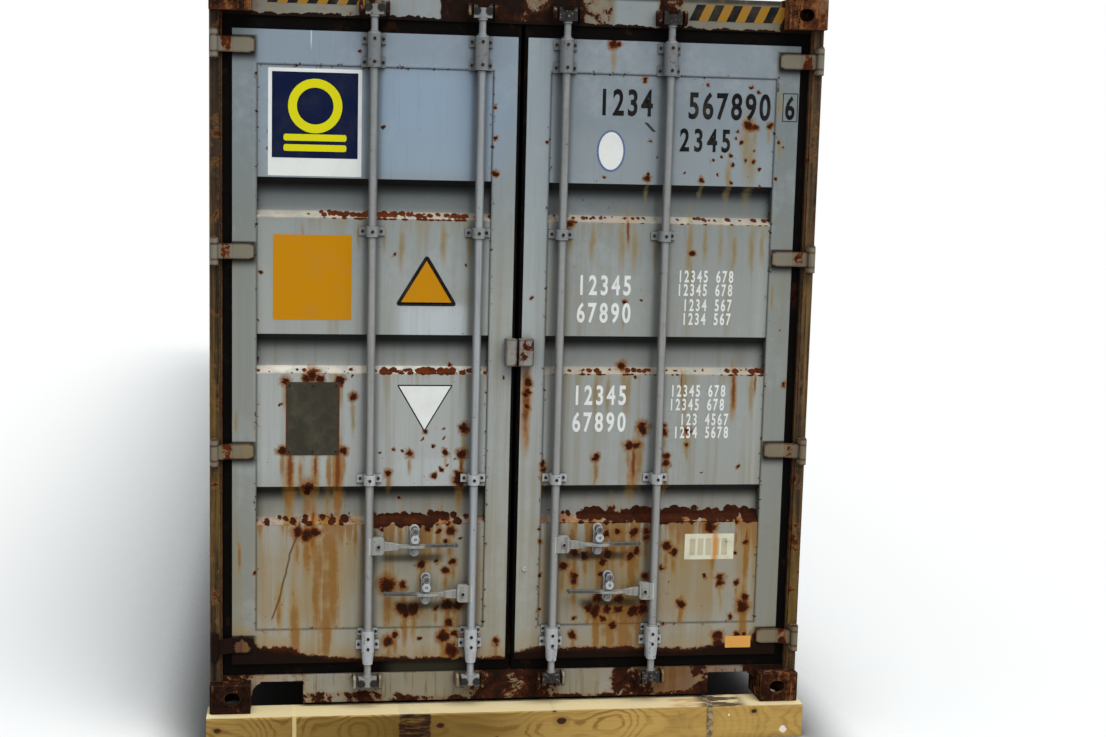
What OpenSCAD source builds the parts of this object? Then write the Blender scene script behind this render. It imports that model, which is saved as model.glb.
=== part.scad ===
/* [Overall] */
// Length over the corner castings
box_l = 12192; // [9125:1:13716]
// Width over the corner castings
box_w = 2438; // [2400:1:2600]
// Height over the corner castings
box_h = 2896; // [2591:1:2950]

/* [Corner castings] */
// Length of a casting along the box
cast_l = 178; // [174:1:184]
// Width of a casting across the box
cast_w = 162; // [158:1:170]
// Height of a casting
cast_h = 118; // [114:1:124]
// Wall of a casting at its end and side
cast_wall = 15; // [12:1:18]
// Thickness of a casting's top or bottom plate
cast_plate = 28; // [24:1:30]
// Chamfer of a casting's outer upright edge
cast_edge = 9; // [4:1:12]
// Length of the slot in the top and bottom faces
slot_l = 124.5; // [120:0.5:126]
// Width of that slot
slot_w = 63.5; // [60:0.5:66]
// Slot centre from the end face
slot_end = 103.5; // [101:0.5:106]
// Slot centre from the side face
slot_side = 89.5; // [88:0.5:92]
// Width of the aperture in the end face
end_slot_w = 63.5; // [58:0.5:66]
// Length of the aperture in the side face
side_slot_l = 79.5; // [74:0.5:84]
// Height of the side and end apertures
ap_h = 51; // [46:1:54]
// Centre of those apertures from the outer face of the nearest slot plate
ap_up = 63; // [60:1:66]

/* [Side walls] */
// Side face of rails and walls, in from the casting face
side_inset = 4.5; // [4:0.5:5.5]
// Sheet thickness of the side walls
side_t = 2; // [1.6:0.2:3]
// Corrugation depth of the side walls
side_depth = 36; // [30:1:40]
// Outer flat of a side corrugation
side_outer = 72; // [60:1:90]
// Inner flat of a side corrugation
side_inner = 70; // [60:1:90]
// Slope of a side corrugation, along the wall
side_slope = 68; // [50:1:80]
// Height of a ventilator
vent_h = 180; // [150:5:220]
// Foot of a ventilator below the top side rail
vent_drop = 320; // [260:5:400]

/* [Front wall] */
// Outer face of the front wall, in from the casting face
front_inset = 24; // [16:1:30]
// Sheet thickness of the front wall
front_t = 2; // [1.6:0.2:3]
// Corrugation depth of the front wall
front_depth = 45.6; // [40:0.2:50]
// Outer flat of a front corrugation
front_outer = 110; // [90:1:130]
// Inner flat of a front corrugation
front_inner = 104; // [90:1:130]
// Slope of a front corrugation, along the wall
front_slope = 18; // [12:1:30]

/* [Rails] */
// Height of a bottom side rail
rail_h = 158; // [150:1:165]
// Underside of the bottom rails above the foot of the castings
rail_up = 17; // [12:1:20]
// Top flange of a bottom side rail
rail_top = 48; // [44:1:56]
// Bottom flange of a bottom side rail
rail_foot = 30; // [25:0.5:40]
// Plate thickness of a bottom side rail
rail_t = 4.5; // [4:0.5:6]
// Side of the square top side rail
toprail = 60; // [50:1:80]
// Wall of the top side rail
toprail_t = 3; // [2.5:0.5:5]

/* [Floor] */
// Thickness of the floor boards
floor_t = 28; // [24:1:30]
// Floor top below the top of the bottom side rail
floor_down = 1; // [0.5:0.5:3]
// Height of a cross member
cross_h = 122; // [110:1:122]
// Top flange of a cross member
cross_top = 45; // [40:1:60]
// Bottom flange of a cross member
cross_foot = 40; // [30:1:60]
// Plate thickness of a cross member
cross_t = 4; // [3:0.5:6]
// Spacing of the cross members
cross_pitch = 300; // [250:5:400]
// Length of the gooseneck tunnel
tunnel_l = 3315; // [3100:5:3500]
// Clear width of the gooseneck tunnel
tunnel_w = 1029; // [1000:1:1060]
// Plate thickness of the gooseneck tunnel
tunnel_t = 4; // [3:0.5:6]
// Depth of the bows over the tunnel
bow_h = 22; // [18:1:24]

/* [Roof] */
// Roof sheet thickness
roof_t = 2; // [1.6:0.2:3]
// Top of the roof sheet below the top of the castings
roof_down = 6; // [5:1:8]
// Depth of a roof trough
roof_depth = 20; // [14:1:26]
// Spacing of the roof troughs
roof_pitch = 209; // [180:1:240]
// Width of a roof trough at the top
roof_trough = 116; // [90:1:130]
// Slope of a roof trough, along the roof
roof_slope = 13; // [8:1:20]
// Flat margin beside the roof troughs
roof_margin = 95; // [80:1:120]
// Thickness of the roof corner plates
patch_t = 3; // [2:0.5:4]
// Length of a roof corner plate, along the roof
patch_l = 260; // [240:10:400]
// Width of a roof corner plate, across the roof
patch_w = 400; // [300:10:500]

/* [End frames] */
// Front flange of a rear post, in from the casting face
post_in = 52; // [51:1:56]
// Width of that flange
flange_w = 40; // [36:1:42]
// Plate thickness of the outer post section
post_t = 6; // [5:0.5:8]
// Thickness of the inner hinge channel
channel_t = 12; // [10:1:14]
// Inner face of the hinge channel, in from the side of the box
jamb = 49; // [47:1:52]
// Front face of the door sill and header, in from the casting face
sill_in = 70; // [68:1:74]
// Plate thickness of the sill and the header
sill_t = 5; // [4:0.5:6]
// Top of the door sill above the foot of the castings
sill_top = 137; // [134:1:140]
// Bottom of the door header below the top of the castings
header_drop = 130; // [126:1:134]
// Width of the cut-out in the sill beside each casting
notch_w = 210; // [200:1:230]
// Height of that cut-out
notch_h = 92; // [75:1:96]

/* [Doors] */
// Outer edge of a leaf, in from the side of the box
leaf_in = 87; // [85:1:92]
// Half of the gap between the leaves
leaf_gap = 20; // [18:1:24]
// Bottom edge of the leaves above the foot of the castings
leaf_bot = 185; // [182:1:190]
// Top edge of the leaves below the top of the castings
leaf_drop = 182; // [178:1:190]
// Outer face of the leaves, in from the casting face
leaf_face = 68; // [68:1:70]
// Depth of a leaf frame
leaf_d = 50; // [48:1:52]
// Width of a stile
stile_w = 95; // [85:1:105]
// Wall of a stile
stile_t = 3.2; // [2.5:0.1:4]
// Height of the top rail of a leaf
toprail_h = 132; // [120:1:150]
// Height of the bottom rail of a leaf
botrail_h = 142; // [130:1:155]
// Panel sheet thickness
panel_t = 2; // [1.6:0.2:3]
// Panel set back from the face of the stiles
panel_back = 3; // [2:0.5:5]
// Depth of a panel trough
trough_d = 34; // [28:1:38]
// Height of a trough over its slopes
trough_h = 156; // [130:1:170]
// Slope height of a trough
trough_s = 26; // [16:1:30]
// Spacing of the three troughs
trough_pitch = 616; // [600:1:625]
// Lip clearance of the door gasket
lip_gap = 1.5; // [1:0.5:3]

/* [Hinges] */
// Pin axis in from the side of the box
pin_in = 19; // [18:0.5:20]
// Pin axis in from the casting face
pin_deep = 18; // [17:0.5:19]
// Pin radius
pin_r = 7; // [6:0.5:8]
// Radius of the hinge eyes
eye_r = 14; // [13:0.5:15]
// Height of a hinge blade
blade_h = 60; // [50:1:80]
// Thickness of a hinge blade
blade_t = 12; // [10:0.5:12]
// Height of a lug on the post
lug_h = 22; // [16:1:30]
// Lowest hinge above the foot of the castings
hinge_low = 267; // [240:1:280]
// Highest hinge below the top of the castings
hinge_drop = 244; // [220:1:260]
// Taper of a blade's end
blade_taper = 8; // [4:1:14]

/* [Locking gear] */
// Rod radius
rod_r = 17; // [15:0.5:18]
// Rod axis in from the casting face
rod_deep = 26; // [25:0.5:27]
// Inner rods from the middle of the box
rod_inner = 168; // [160:1:180]
// Outer rods from the middle of the box
rod_outer = 588; // [570:1:610]
// Running clearance round a rod
rod_play = 0.1; // [0.05:0.05:0.1]
// Height of the upper handles above the foot of the castings
handle_hi = 680; // [660:5:700]
// Height of the lower handles above the foot of the castings
handle_lo = 480; // [460:5:500]
// Reach of a handle from its rod axis
handle_l = 362; // [340:1:380]
// Reach of a cam from its rod axis
cam_r = 38; // [34:1:38]
// Height of a cam
cam_h = 51; // [44:1:54]
// Clear space between a cam and each keeper ear
keeper_gap = 8; // [6:1:10]
// Radius of a rod's necks beside its cams
neck_r = 14; // [12:0.5:14.5]
// Catch from the rod axis, along the handle
catch_off = 186; // [170:1:200]

/* [Data plate] */
// Width of the plate
plate_w = 212; // [180:1:240]
// Height of the plate
plate_h = 295; // [260:1:320]
// Gap between the plate and the outer stile
plate_side = 116; // [100:1:200]
// Foot of the plate above the lowest trough
plate_low = 128; // [110:1:140]

/* [Timber bearers] */
// Height of a bearer
bearer_h = 140; // [100:5:200]
// Width of a bearer, along the box
bearer_w = 140; // [120:5:220]
// Bearer past each side of the box
bearer_over = 11; // [1:1:200]
// Bearer proud of the casting end face
bearer_out = 42; // [0:1:60]

/* [Hidden] */
$fn = 48;

half_w = box_w / 2;
wall_x = half_w - side_inset;
frame_y0 = cast_l;
frame_y1 = box_l - cast_l;
rail_z1 = rail_up + rail_h;
floor_top = rail_z1 - floor_down;
floor_bot = floor_top - floor_t;
cross_z0 = floor_bot - cross_h;
roof_top = box_h - roof_down;
toprail_z1 = roof_top - roof_t;
toprail_z0 = toprail_z1 - toprail;
cast_x = half_w - cast_w;
jamb_x = half_w - jamb;
header_z0 = box_h - header_drop;
leaf_x1 = half_w - leaf_in;
leaf_top = box_h - leaf_drop;
hinge_x = half_w - pin_in;
hinge_pitch = (box_h - hinge_drop - hinge_low) / 3;
hinge_zs = [for (i = [0:3]) hinge_low + i * hinge_pitch];
notch_x0 = cast_x - notch_w;
sill_step = leaf_face + leaf_d + 8;
rod_xs = [-rod_outer, -rod_inner, rod_inner, rod_outer];

paint = [0.56, 0.60, 0.62];
post_paint = [0.45, 0.33, 0.24];
sill_paint = [0.62, 0.57, 0.45];
cast_rust = [0.20, 0.14, 0.11];
galvanised = [0.66, 0.66, 0.64];
blade_paint = [0.72, 0.66, 0.52];
rubber = [0.07, 0.07, 0.08];
pine = [0.78, 0.66, 0.40];
plywood = [0.55, 0.42, 0.30];
under_paint = [0.16, 0.15, 0.14];

// Shared placing: the rear casting faces lie at Y = 0 of rear(), which also lifts onto the bearers
module rear() translate([0, -box_l / 2, bearer_h]) children();
module both() { children(); mirror([1, 0, 0]) children(); }
module side(s) mirror([s < 0 ? 1 : 0, 0, 0]) children();
// A profile drawn as [y, z], run along X from x0 to x1
module along_x(x0, x1) translate([x0, 0, 0]) rotate([90, 0, 90]) linear_extrude(x1 - x0) children();
// A profile drawn as [x, z], run along Y from y0 to y1
module along_y(y0, y1) translate([0, y1, 0]) rotate([90, 0, 0]) linear_extrude(y1 - y0) children();
module block(a, b) translate(a) cube(b - a);
module stadium(l, w) {
  square([l - w, w], center = true);
  for (s = [-1, 1]) translate([s * (l - w) / 2, 0]) circle(d = w);
}

// A strip of thickness t along a path of points, mitred at its bends
function unit(v) = v / norm(v);
function normal_at(p, i) = let (d = unit(p[i + 1] - p[i])) [-d[1], d[0]];
function mitre(p, i, w) =
  let (n0 = normal_at(p, max(i - 1, 0)), n1 = normal_at(p, min(i, len(p) - 2)))
  p[i] + w * (n0 + n1) / (1 + n0 * n1);
function ribbon(p, t) = concat(
  [for (i = [0:len(p) - 1]) mitre(p, i, t / 2)],
  [for (i = [len(p) - 1:-1:0]) mitre(p, i, -t / 2)]
);
// Middle line of a trapezoid sheet: u runs along the sheet, v is the depth from its outer face
function wave_count(len, pitch, outer) = floor((len - outer * 0.6) / pitch);
function wave_path(len, outer, slope, inner, depth, t) =
  let (
    pitch = outer + inner + 2 * slope,
    n = wave_count(len, pitch, outer),
    m = (len - n * pitch + outer) / 2,
    v0 = t / 2,
    v1 = depth - t / 2
  )
  concat(
    [[0, v0]],
    [for (i = [0:n - 1]) let (u = m + i * pitch) each
      [[u, v0], [u + slope, v1], [u + slope + inner, v1], [u + 2 * slope + inner, v0]]],
    [[len, v0]]
  );

bearer_x = half_w + bearer_over;
module bearer(y0) block([-bearer_x, y0, -bearer_h], [bearer_x, y0 + bearer_w, 0]);
module timber_bearer_rear() color(pine) rear() bearer(-bearer_out);
module timber_bearer_front() color(pine) rear() bearer(box_l + bearer_out - bearer_w);

// One casting with its outer corner at the origin, running to +X, +Y and +Z; z = 0 is the slotted face
module casting() difference() {
  linear_extrude(cast_h)
    polygon([[cast_edge, 0], [cast_w, 0], [cast_w, cast_l], [0, cast_l], [0, cast_edge]]);
  translate([cast_wall, cast_wall, cast_plate])
    cube([cast_w - 2 * cast_wall, cast_l - 2 * cast_wall, cast_h - 1.5 * cast_plate]);
  translate([slot_side, slot_end, -1]) rotate(90) linear_extrude(cast_plate + 2) stadium(slot_l, slot_w);
  translate([slot_side, -1, ap_up]) rotate([-90, 0, 0]) linear_extrude(cast_wall + 2) stadium(end_slot_w, ap_h);
  translate([-1, slot_end, ap_up]) rotate([90, 0, 90]) linear_extrude(cast_wall + 2) stadium(side_slot_l, ap_h);
}
module casting_at(sx, front, top)
  translate([sx * half_w, front ? box_l : 0, top ? box_h : 0])
    mirror([sx > 0 ? 1 : 0, 0, 0]) mirror([0, front ? 1 : 0, 0]) mirror([0, 0, top ? 1 : 0]) casting();
module corner_castings() color(cast_rust) rear()
  for (sx = [-1, 1], front = [false, true], top = [false, true]) casting_at(sx, front, top);

// Channel with a wide top flange and a narrow foot, open to the inside
module rail_section() polygon([
  [wall_x, rail_up], [wall_x, rail_z1], [wall_x - rail_top, rail_z1],
  [wall_x - rail_top, rail_z1 - rail_t], [wall_x - rail_t, rail_z1 - rail_t],
  [wall_x - rail_t, rail_up + rail_t], [wall_x - rail_foot, rail_up + rail_t], [wall_x - rail_foot, rail_up]
]);
module bottom_side_rail(s) color(paint) rear() side(s) along_y(frame_y0, frame_y1) rail_section();
module bottom_side_rail_left() bottom_side_rail(-1);
module bottom_side_rail_right() bottom_side_rail(1);

// C section with its web towards the door end, from x0 to x1
module cross_channel(x0, x1, y, z0, h) along_x(x0, x1) translate([y, z0]) polygon([
  [0, 0], [cross_foot, 0], [cross_foot, cross_t], [cross_t, cross_t],
  [cross_t, h - cross_t], [cross_top, h - cross_t], [cross_top, h], [0, h]
]);
cross_x = wall_x - rail_t;
cross_y0 = frame_y0 + cross_pitch * 0.8;
tunnel_y0 = box_l - tunnel_l;
tunnel_y1 = frame_y1;
cross_n = floor((tunnel_y0 - cross_top - cross_y0) / cross_pitch);
outrig_n = floor((tunnel_y1 - cross_top - tunnel_y0 - cross_pitch / 2) / cross_pitch);
outrig_y0 = tunnel_y0 + cross_pitch / 2;
tunnel_x = tunnel_w / 2;
tunnel_z = floor_bot - bow_h;
module cross_members() color(under_paint) rear() {
  for (i = [0:cross_n]) cross_channel(-cross_x, cross_x, cross_y0 + i * cross_pitch, cross_z0, cross_h);
  for (i = [0:outrig_n]) both()
    cross_channel(tunnel_x + tunnel_t, cross_x, outrig_y0 + i * cross_pitch, cross_z0, cross_h);
}
module gooseneck_tunnel() color(under_paint) rear() {
  along_y(tunnel_y0, tunnel_y1) polygon([
    [-tunnel_x - tunnel_t, cross_z0], [-tunnel_x, cross_z0], [-tunnel_x, tunnel_z - tunnel_t],
    [tunnel_x, tunnel_z - tunnel_t], [tunnel_x, cross_z0], [tunnel_x + tunnel_t, cross_z0],
    [tunnel_x + tunnel_t, floor_bot], [tunnel_x, floor_bot], [tunnel_x, tunnel_z],
    [-tunnel_x, tunnel_z], [-tunnel_x, floor_bot], [-tunnel_x - tunnel_t, floor_bot]
  ]);
  for (i = [0:outrig_n]) along_x(-tunnel_x, tunnel_x)
    translate([outrig_y0 + i * cross_pitch, tunnel_z]) square([cross_top, bow_h]);
}

floor_x = wall_x - rail_top - 1;
front_y = box_l - front_inset;
module floor() color(plywood) rear()
  block([-floor_x, frame_y0, floor_bot], [floor_x, frame_y1, floor_top]);

// Sill below the doors: front plate, ledge for the gasket, riser to the floor and a back leg
module door_sill() color(sill_paint) rear() {
  difference() {
    along_x(-cast_x, cast_x) polygon([
      [sill_in, rail_up], [sill_in + sill_t, rail_up], [sill_in + sill_t, sill_top - sill_t],
      [sill_step - sill_t, sill_top - sill_t], [sill_step - sill_t, rail_up], [sill_step, rail_up],
      [sill_step, floor_top - sill_t], [frame_y0 - sill_t, floor_top - sill_t],
      [frame_y0 - sill_t, rail_up], [frame_y0, rail_up], [frame_y0, floor_top],
      [sill_step - sill_t, floor_top], [sill_step - sill_t, sill_top], [sill_in, sill_top]
    ]);
    both() block([notch_x0, 0, 0], [cast_x + 1, frame_y0 + 1, rail_up + notch_h]);
  }
  both() along_x(cast_x, jamb_x) polygon([
    [sill_in, cast_h], [frame_y0, cast_h], [frame_y0, floor_top],
    [sill_step - sill_t, floor_top], [sill_step - sill_t, sill_top], [sill_in, sill_top]
  ]);
  // Curved gusset beside each casting
  both() along_y(sill_in, sill_in + sill_t) translate([cast_x, rail_up + notch_h]) difference() {
    translate([-38, -64]) square([38, 64]);
    translate([-55, -53]) circle(r = 50);
  }
}
// Header over the doors: a box girder with a bottom plate that runs on to the posts
module door_header() color(sill_paint) rear() {
  difference() {
    block([-cast_x, sill_in, box_h - cast_h], [cast_x, frame_y0, roof_top]);
    block([-cast_x - 1, sill_in + sill_t, box_h - cast_h - 1], [cast_x + 1, frame_y0 - sill_t, roof_top - sill_t]);
  }
  block([-jamb_x, sill_in, header_z0], [jamb_x, frame_y0, box_h - cast_h]);
}
// Outer J section and inner hinge channel, closed into one tube
module rear_post(s) color(post_paint) rear() side(s)
  translate([0, 0, cast_h]) linear_extrude(box_h - 2 * cast_h) difference() {
    polygon([
      [half_w, post_in], [half_w, cast_l], [jamb_x, cast_l], [jamb_x, post_in + post_t],
      [half_w - flange_w, post_in + post_t], [half_w - flange_w, post_in]
    ]);
    polygon([
      [half_w - post_t, post_in + post_t + channel_t], [half_w - post_t, cast_l - channel_t],
      [jamb_x + channel_t, cast_l - channel_t], [jamb_x + channel_t, post_in + post_t + channel_t]
    ]);
  }
module rear_post_left() rear_post(-1);
module rear_post_right() rear_post(1);

wall_z0 = rail_z1;
wall_h = toprail_z0 - rail_z1;
side_len = frame_y1 - frame_y0;
side_path = wave_path(side_len, side_outer, side_slope, side_inner, side_depth, side_t);
module side_wall(s) color(paint) rear() side(s) translate([0, frame_y0, wall_z0])
  linear_extrude(wall_h) polygon([for (p = ribbon(side_path, side_t)) [wall_x - p[1], p[0]]]);
module side_wall_left() side_wall(-1);
module side_wall_right() side_wall(1);

module top_side_rail(s) color(paint) rear() side(s) difference() {
  block([wall_x - toprail, frame_y0, toprail_z0], [wall_x, frame_y1, toprail_z1]);
  block([wall_x - toprail + toprail_t, frame_y0 - 1, toprail_z0 + toprail_t],
        [wall_x - toprail_t, frame_y1 + 1, toprail_z1 - toprail_t]);
}
module top_side_rail_left() top_side_rail(-1);
module top_side_rail_right() top_side_rail(1);

// Front end: posts, sill, header and corrugated wall
// Front post: a folded plate that stands proud of the wall at its corner
nose = 20;
post_path = let (w = post_t / 2, x0 = half_w - cast_w, y0 = front_y - w) [
  [half_w - w, frame_y1], [half_w - w, y0 + nose * 0.6], [half_w - w - nose * 0.6, y0 + nose],
  [half_w - cast_w * 0.55, y0 + nose], [half_w - cast_w * 0.8, y0], [x0, y0]
];
module front_post(s) color(paint) rear() side(s) translate([0, 0, cast_h])
  linear_extrude(box_h - 2 * cast_h) polygon(ribbon(post_path, post_t));
module front_post_left() front_post(-1);
module front_post_right() front_post(1);

fbeam_y0 = frame_y1;
module front_sill() color(paint) rear() difference() {
  along_x(-cast_x, cast_x) polygon([
    [front_y, rail_up], [front_y, rail_z1], [fbeam_y0, rail_z1], [fbeam_y0, floor_bot],
    [fbeam_y0 + post_t, floor_bot], [fbeam_y0 + post_t, rail_z1 - post_t], [front_y - post_t, rail_z1 - post_t],
    [front_y - post_t, rail_up]
  ]);
  block([-tunnel_x, fbeam_y0 - 1, 0], [tunnel_x, front_y + 1, tunnel_z - tunnel_t]);
}
module front_header() color(paint) rear() difference() {
  block([-cast_x, fbeam_y0, box_h - cast_h], [cast_x, front_y, roof_top]);
  block([-cast_x - 1, fbeam_y0 + toprail_t, box_h - cast_h + toprail_t],
        [cast_x + 1, front_y - toprail_t, roof_top - toprail_t]);
}
front_len = 2 * cast_x;
front_path = wave_path(front_len, front_outer, front_slope, front_inner, front_depth, front_t);
module front_wall() color(paint) rear() translate([-cast_x, 0, rail_z1])
  linear_extrude(box_h - cast_h - rail_z1) polygon([for (p = ribbon(front_path, front_t)) [p[0], front_y - p[1]]]);

// Roof: one sheet with pressed troughs that stop short of the rails
roof_y0 = frame_y0;
roof_y1 = fbeam_y0;
roof_n = floor((roof_y1 - roof_y0 - 2 * patch_l + roof_pitch - roof_trough) / roof_pitch);
roof_first = (roof_y0 + roof_y1 - (roof_n - 1) * roof_pitch - roof_trough) / 2;
roof_x = wall_x - toprail - roof_margin / 2;
module roof() color(paint) rear() difference() {
  union() {
    block([-wall_x, roof_y0, toprail_z1], [wall_x, roof_y1, roof_top]);
    for (i = [0:roof_n - 1]) along_x(-roof_x, roof_x)
      translate([roof_first + i * roof_pitch, toprail_z1]) polygon([
        [-roof_t, 0], [roof_slope - roof_t, -roof_depth + roof_t],
        [roof_trough - roof_slope + roof_t, -roof_depth + roof_t], [roof_trough + roof_t, 0]
      ]);
  }
  for (i = [0:roof_n - 1]) along_x(-roof_x + roof_t, roof_x - roof_t)
    translate([roof_first + i * roof_pitch, roof_top]) polygon([
      [0, 1], [0, 0], [roof_slope, -roof_depth + roof_t],
      [roof_trough - roof_slope, -roof_depth + roof_t], [roof_trough, 0], [roof_trough, 1]
    ]);
}
module roof_corner_plates() color(paint) rear() both()
  for (y = [roof_y0, roof_y1 - patch_l])
    block([half_w - patch_w, y, roof_top], [wall_x, y + patch_l, roof_top + patch_t]);

// Hinge lugs on the posts with the pins through them
module lug(z) translate([0, 0, z]) linear_extrude(lug_h) {
  translate([hinge_x, pin_deep]) circle(r = eye_r);
  polygon([
    [hinge_x + eye_r, pin_deep], [half_w - 1, post_in], [half_w - flange_w + 4, post_in],
    [hinge_x - eye_r, pin_deep]
  ]);
}
blade_gap = 1;
module hinge_lugs(s) color(blade_paint) rear() side(s) for (z = hinge_zs) {
  lug(z + blade_h / 2 + blade_gap);
  lug(z - blade_h / 2 - blade_gap - lug_h);
  translate([hinge_x, pin_deep, z - blade_h / 2 - lug_h - 8]) cylinder(r = pin_r, h = blade_h + 2 * lug_h + 16);
  translate([hinge_x, pin_deep, z + blade_h / 2 + blade_gap + lug_h]) cylinder(r = pin_r + 4, h = 6);
}
module hinge_lugs_left() hinge_lugs(-1);
module hinge_lugs_right() hinge_lugs(1);

// Saddle keepers, open to the front, two ears beside each cam
cam_low = sill_top - cam_h - 2;
cam_high = header_z0 + 14;
ear_x = cam_r + keeper_gap;
ear_t = 12;
module keeper(x, z) for (s = [-1, 1]) translate([x, 0, z]) side(s)
  along_x(ear_x, ear_x + ear_t) polygon([
    [sill_in, -4], [sill_in, cam_h + 4], [rod_deep, cam_h + 4], [8, cam_h - 8], [8, 8], [rod_deep, -4]
  ]);
module cam_keepers() color(sill_paint) rear() for (x = rod_xs) {
  keeper(x, cam_low);
  keeper(x, cam_high);
}

// Louvred ventilators in the inner flats of the side walls, near the four upper corners
module vents() color(paint) rear() both() for (v = vent_ys) translate([0, v, vent_z]) difference() {
  block([vent_x, -side_inner * 0.4, 0], [vent_x + 22, side_inner * 0.4, vent_h]);
  for (i = [0:5]) translate([vent_x + 6, -side_inner * 0.28, vent_h * (0.1 + i * 0.145)])
      cube([20, side_inner * 0.56, 10]);
}
side_pitch = side_outer + side_inner + 2 * side_slope;
side_n = wave_count(side_len, side_pitch, side_outer);
side_m = (side_len - side_n * side_pitch + side_outer) / 2;
vent_x = wall_x - side_depth + side_t;
vent_z = toprail_z0 - vent_drop;
vent_ys = [for (i = [1, side_n - 2]) frame_y0 + side_m + side_slope + side_inner / 2 + i * side_pitch];

// Door leaves, drawn for the right one and mirrored for the left
leaf_h = leaf_top - leaf_bot;
panel_x0 = leaf_gap + stile_w;
panel_x1 = leaf_x1 - stile_w;
panel_z0 = leaf_bot + botrail_h;
panel_z1 = leaf_top - toprail_h;
panel_y = leaf_face + panel_back;
module stile(x) difference() {
  block([x, leaf_face, leaf_bot], [x + stile_w, leaf_face + leaf_d, leaf_top]);
  block([x + stile_t, leaf_face + stile_t, leaf_bot + stile_t],
        [x + stile_w - stile_t, leaf_face + leaf_d - stile_t, leaf_top - stile_t]);
}
module leaf_rail(z0, z1) along_x(panel_x0, panel_x1) polygon([
  [leaf_face, z0], [leaf_face + leaf_d, z0], [leaf_face + leaf_d, z0 + stile_t], [leaf_face + stile_t, z0 + stile_t],
  [leaf_face + stile_t, z1 - stile_t], [leaf_face + leaf_d, z1 - stile_t], [leaf_face + leaf_d, z1], [leaf_face, z1]
]);
module door_frame(s) color(paint) rear() side(s) {
  stile(leaf_gap);
  stile(leaf_x1 - stile_w);
  leaf_rail(leaf_bot, panel_z0);
  leaf_rail(panel_z1, leaf_top);
}
panel_mid = (panel_z0 + panel_z1) / 2;
panel_path = let (y0 = panel_y + panel_t / 2, y1 = panel_y + trough_d - panel_t / 2, h = trough_h / 2) concat(
  [[y0, panel_z0]],
  [for (i = [-1:1]) let (z = panel_mid + i * trough_pitch) each
    [[y0, z - h], [y1, z - h + trough_s], [y1, z + h - trough_s], [y0, z + h]]],
  [[y0, panel_z1]]
);
module door_panel(s) color(paint) rear() side(s) along_x(panel_x0, panel_x1) polygon(ribbon(panel_path, panel_t));

// Gasket: a base round the leaf edge with a front and a back lip
lip_x0 = 8;
module gasket_ring(grow_in, grow_out, grow_z0, grow_z1, y0, y1) difference() {
  block([leaf_gap - grow_in, y0, leaf_bot - grow_z0], [leaf_x1 + grow_out, y1, leaf_top + grow_z1]);
  block([leaf_gap, y0 - 1, leaf_bot], [leaf_x1, y1 + 1, leaf_top]);
}
base_g = 8;
lip_side = jamb_x - lip_gap - leaf_x1;
lip_low = leaf_bot - sill_top - lip_gap;
lip_high = header_z0 - lip_gap - leaf_top;
module door_gasket(s) color(rubber) rear() side(s) union() {
  gasket_ring(base_g, base_g, base_g, base_g, leaf_face + 6, leaf_face + leaf_d);
  gasket_ring(leaf_gap - lip_x0, lip_side, lip_low, lip_high, leaf_face + 10, leaf_face + 16);
  gasket_ring(leaf_gap - lip_x0, lip_side, lip_low, lip_high, leaf_face + leaf_d - 8, leaf_face + leaf_d - 2);
}

// Hinge blade: an eye, a crank round the post corner and a flat on the stile
blade_end = 154;
blade_y = leaf_face - pin_deep - blade_t / 2;
blade_path = [[-2, 1], [2, 20], [30, 26], [68, blade_y], [blade_end, blade_y]];
module blade_section() difference() {
  union() {
    circle(r = eye_r);
    polygon(ribbon(blade_path, blade_t));
  }
  circle(r = pin_r + pin_play);
}
pin_play = 0.1;
module hinge_blade() difference() {
  translate([0, 0, -blade_h / 2]) linear_extrude(blade_h) mirror([1, 0, 0]) blade_section();
  for (m = [0, 1]) mirror([0, 0, m]) along_y(blade_y - blade_t, blade_y + blade_t) polygon([
    [-blade_end - 1, blade_h / 2 - blade_taper], [-blade_end + 3 * blade_taper, blade_h / 2 + 1],
    [-blade_end - 1, blade_h / 2 + 1]
  ]);
}
module hinge_blades(s) color(blade_paint) rear() side(s) for (z = hinge_zs)
  translate([hinge_x, pin_deep, z]) hinge_blade();

// Rod bearings: a saddle round the rod, seated on the leaf, with bolted ears
flange_t = 8;
collar_r = rod_r + 7;
bearing_wall = 8;
guide_wall = 6;
ear_w = 94;
module saddle(x, z0, z1, wall, seat) translate([x, 0, z0]) linear_extrude(z1 - z0) difference() {
  union() {
    translate([0, rod_deep]) circle(r = rod_r + wall);
    translate([-rod_r - wall + 1, rod_deep]) square([2 * (rod_r + wall - 1), seat - rod_deep]);
  }
  translate([0, rod_deep]) circle(r = rod_r + rod_play);
}
module ears(x, z0, z1, width, seat)
  block([x - width / 2, seat - flange_t, z0], [x + width / 2, seat, z1]);
bear_low = [leaf_bot + 6, leaf_bot + botrail_h + 2];
bear_high = [leaf_top - toprail_h - 2, leaf_top - 6];
guide_zs = [950, 1943];
guide_h = 40;
ear_h = 38;
taper_h = 52;
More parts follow.
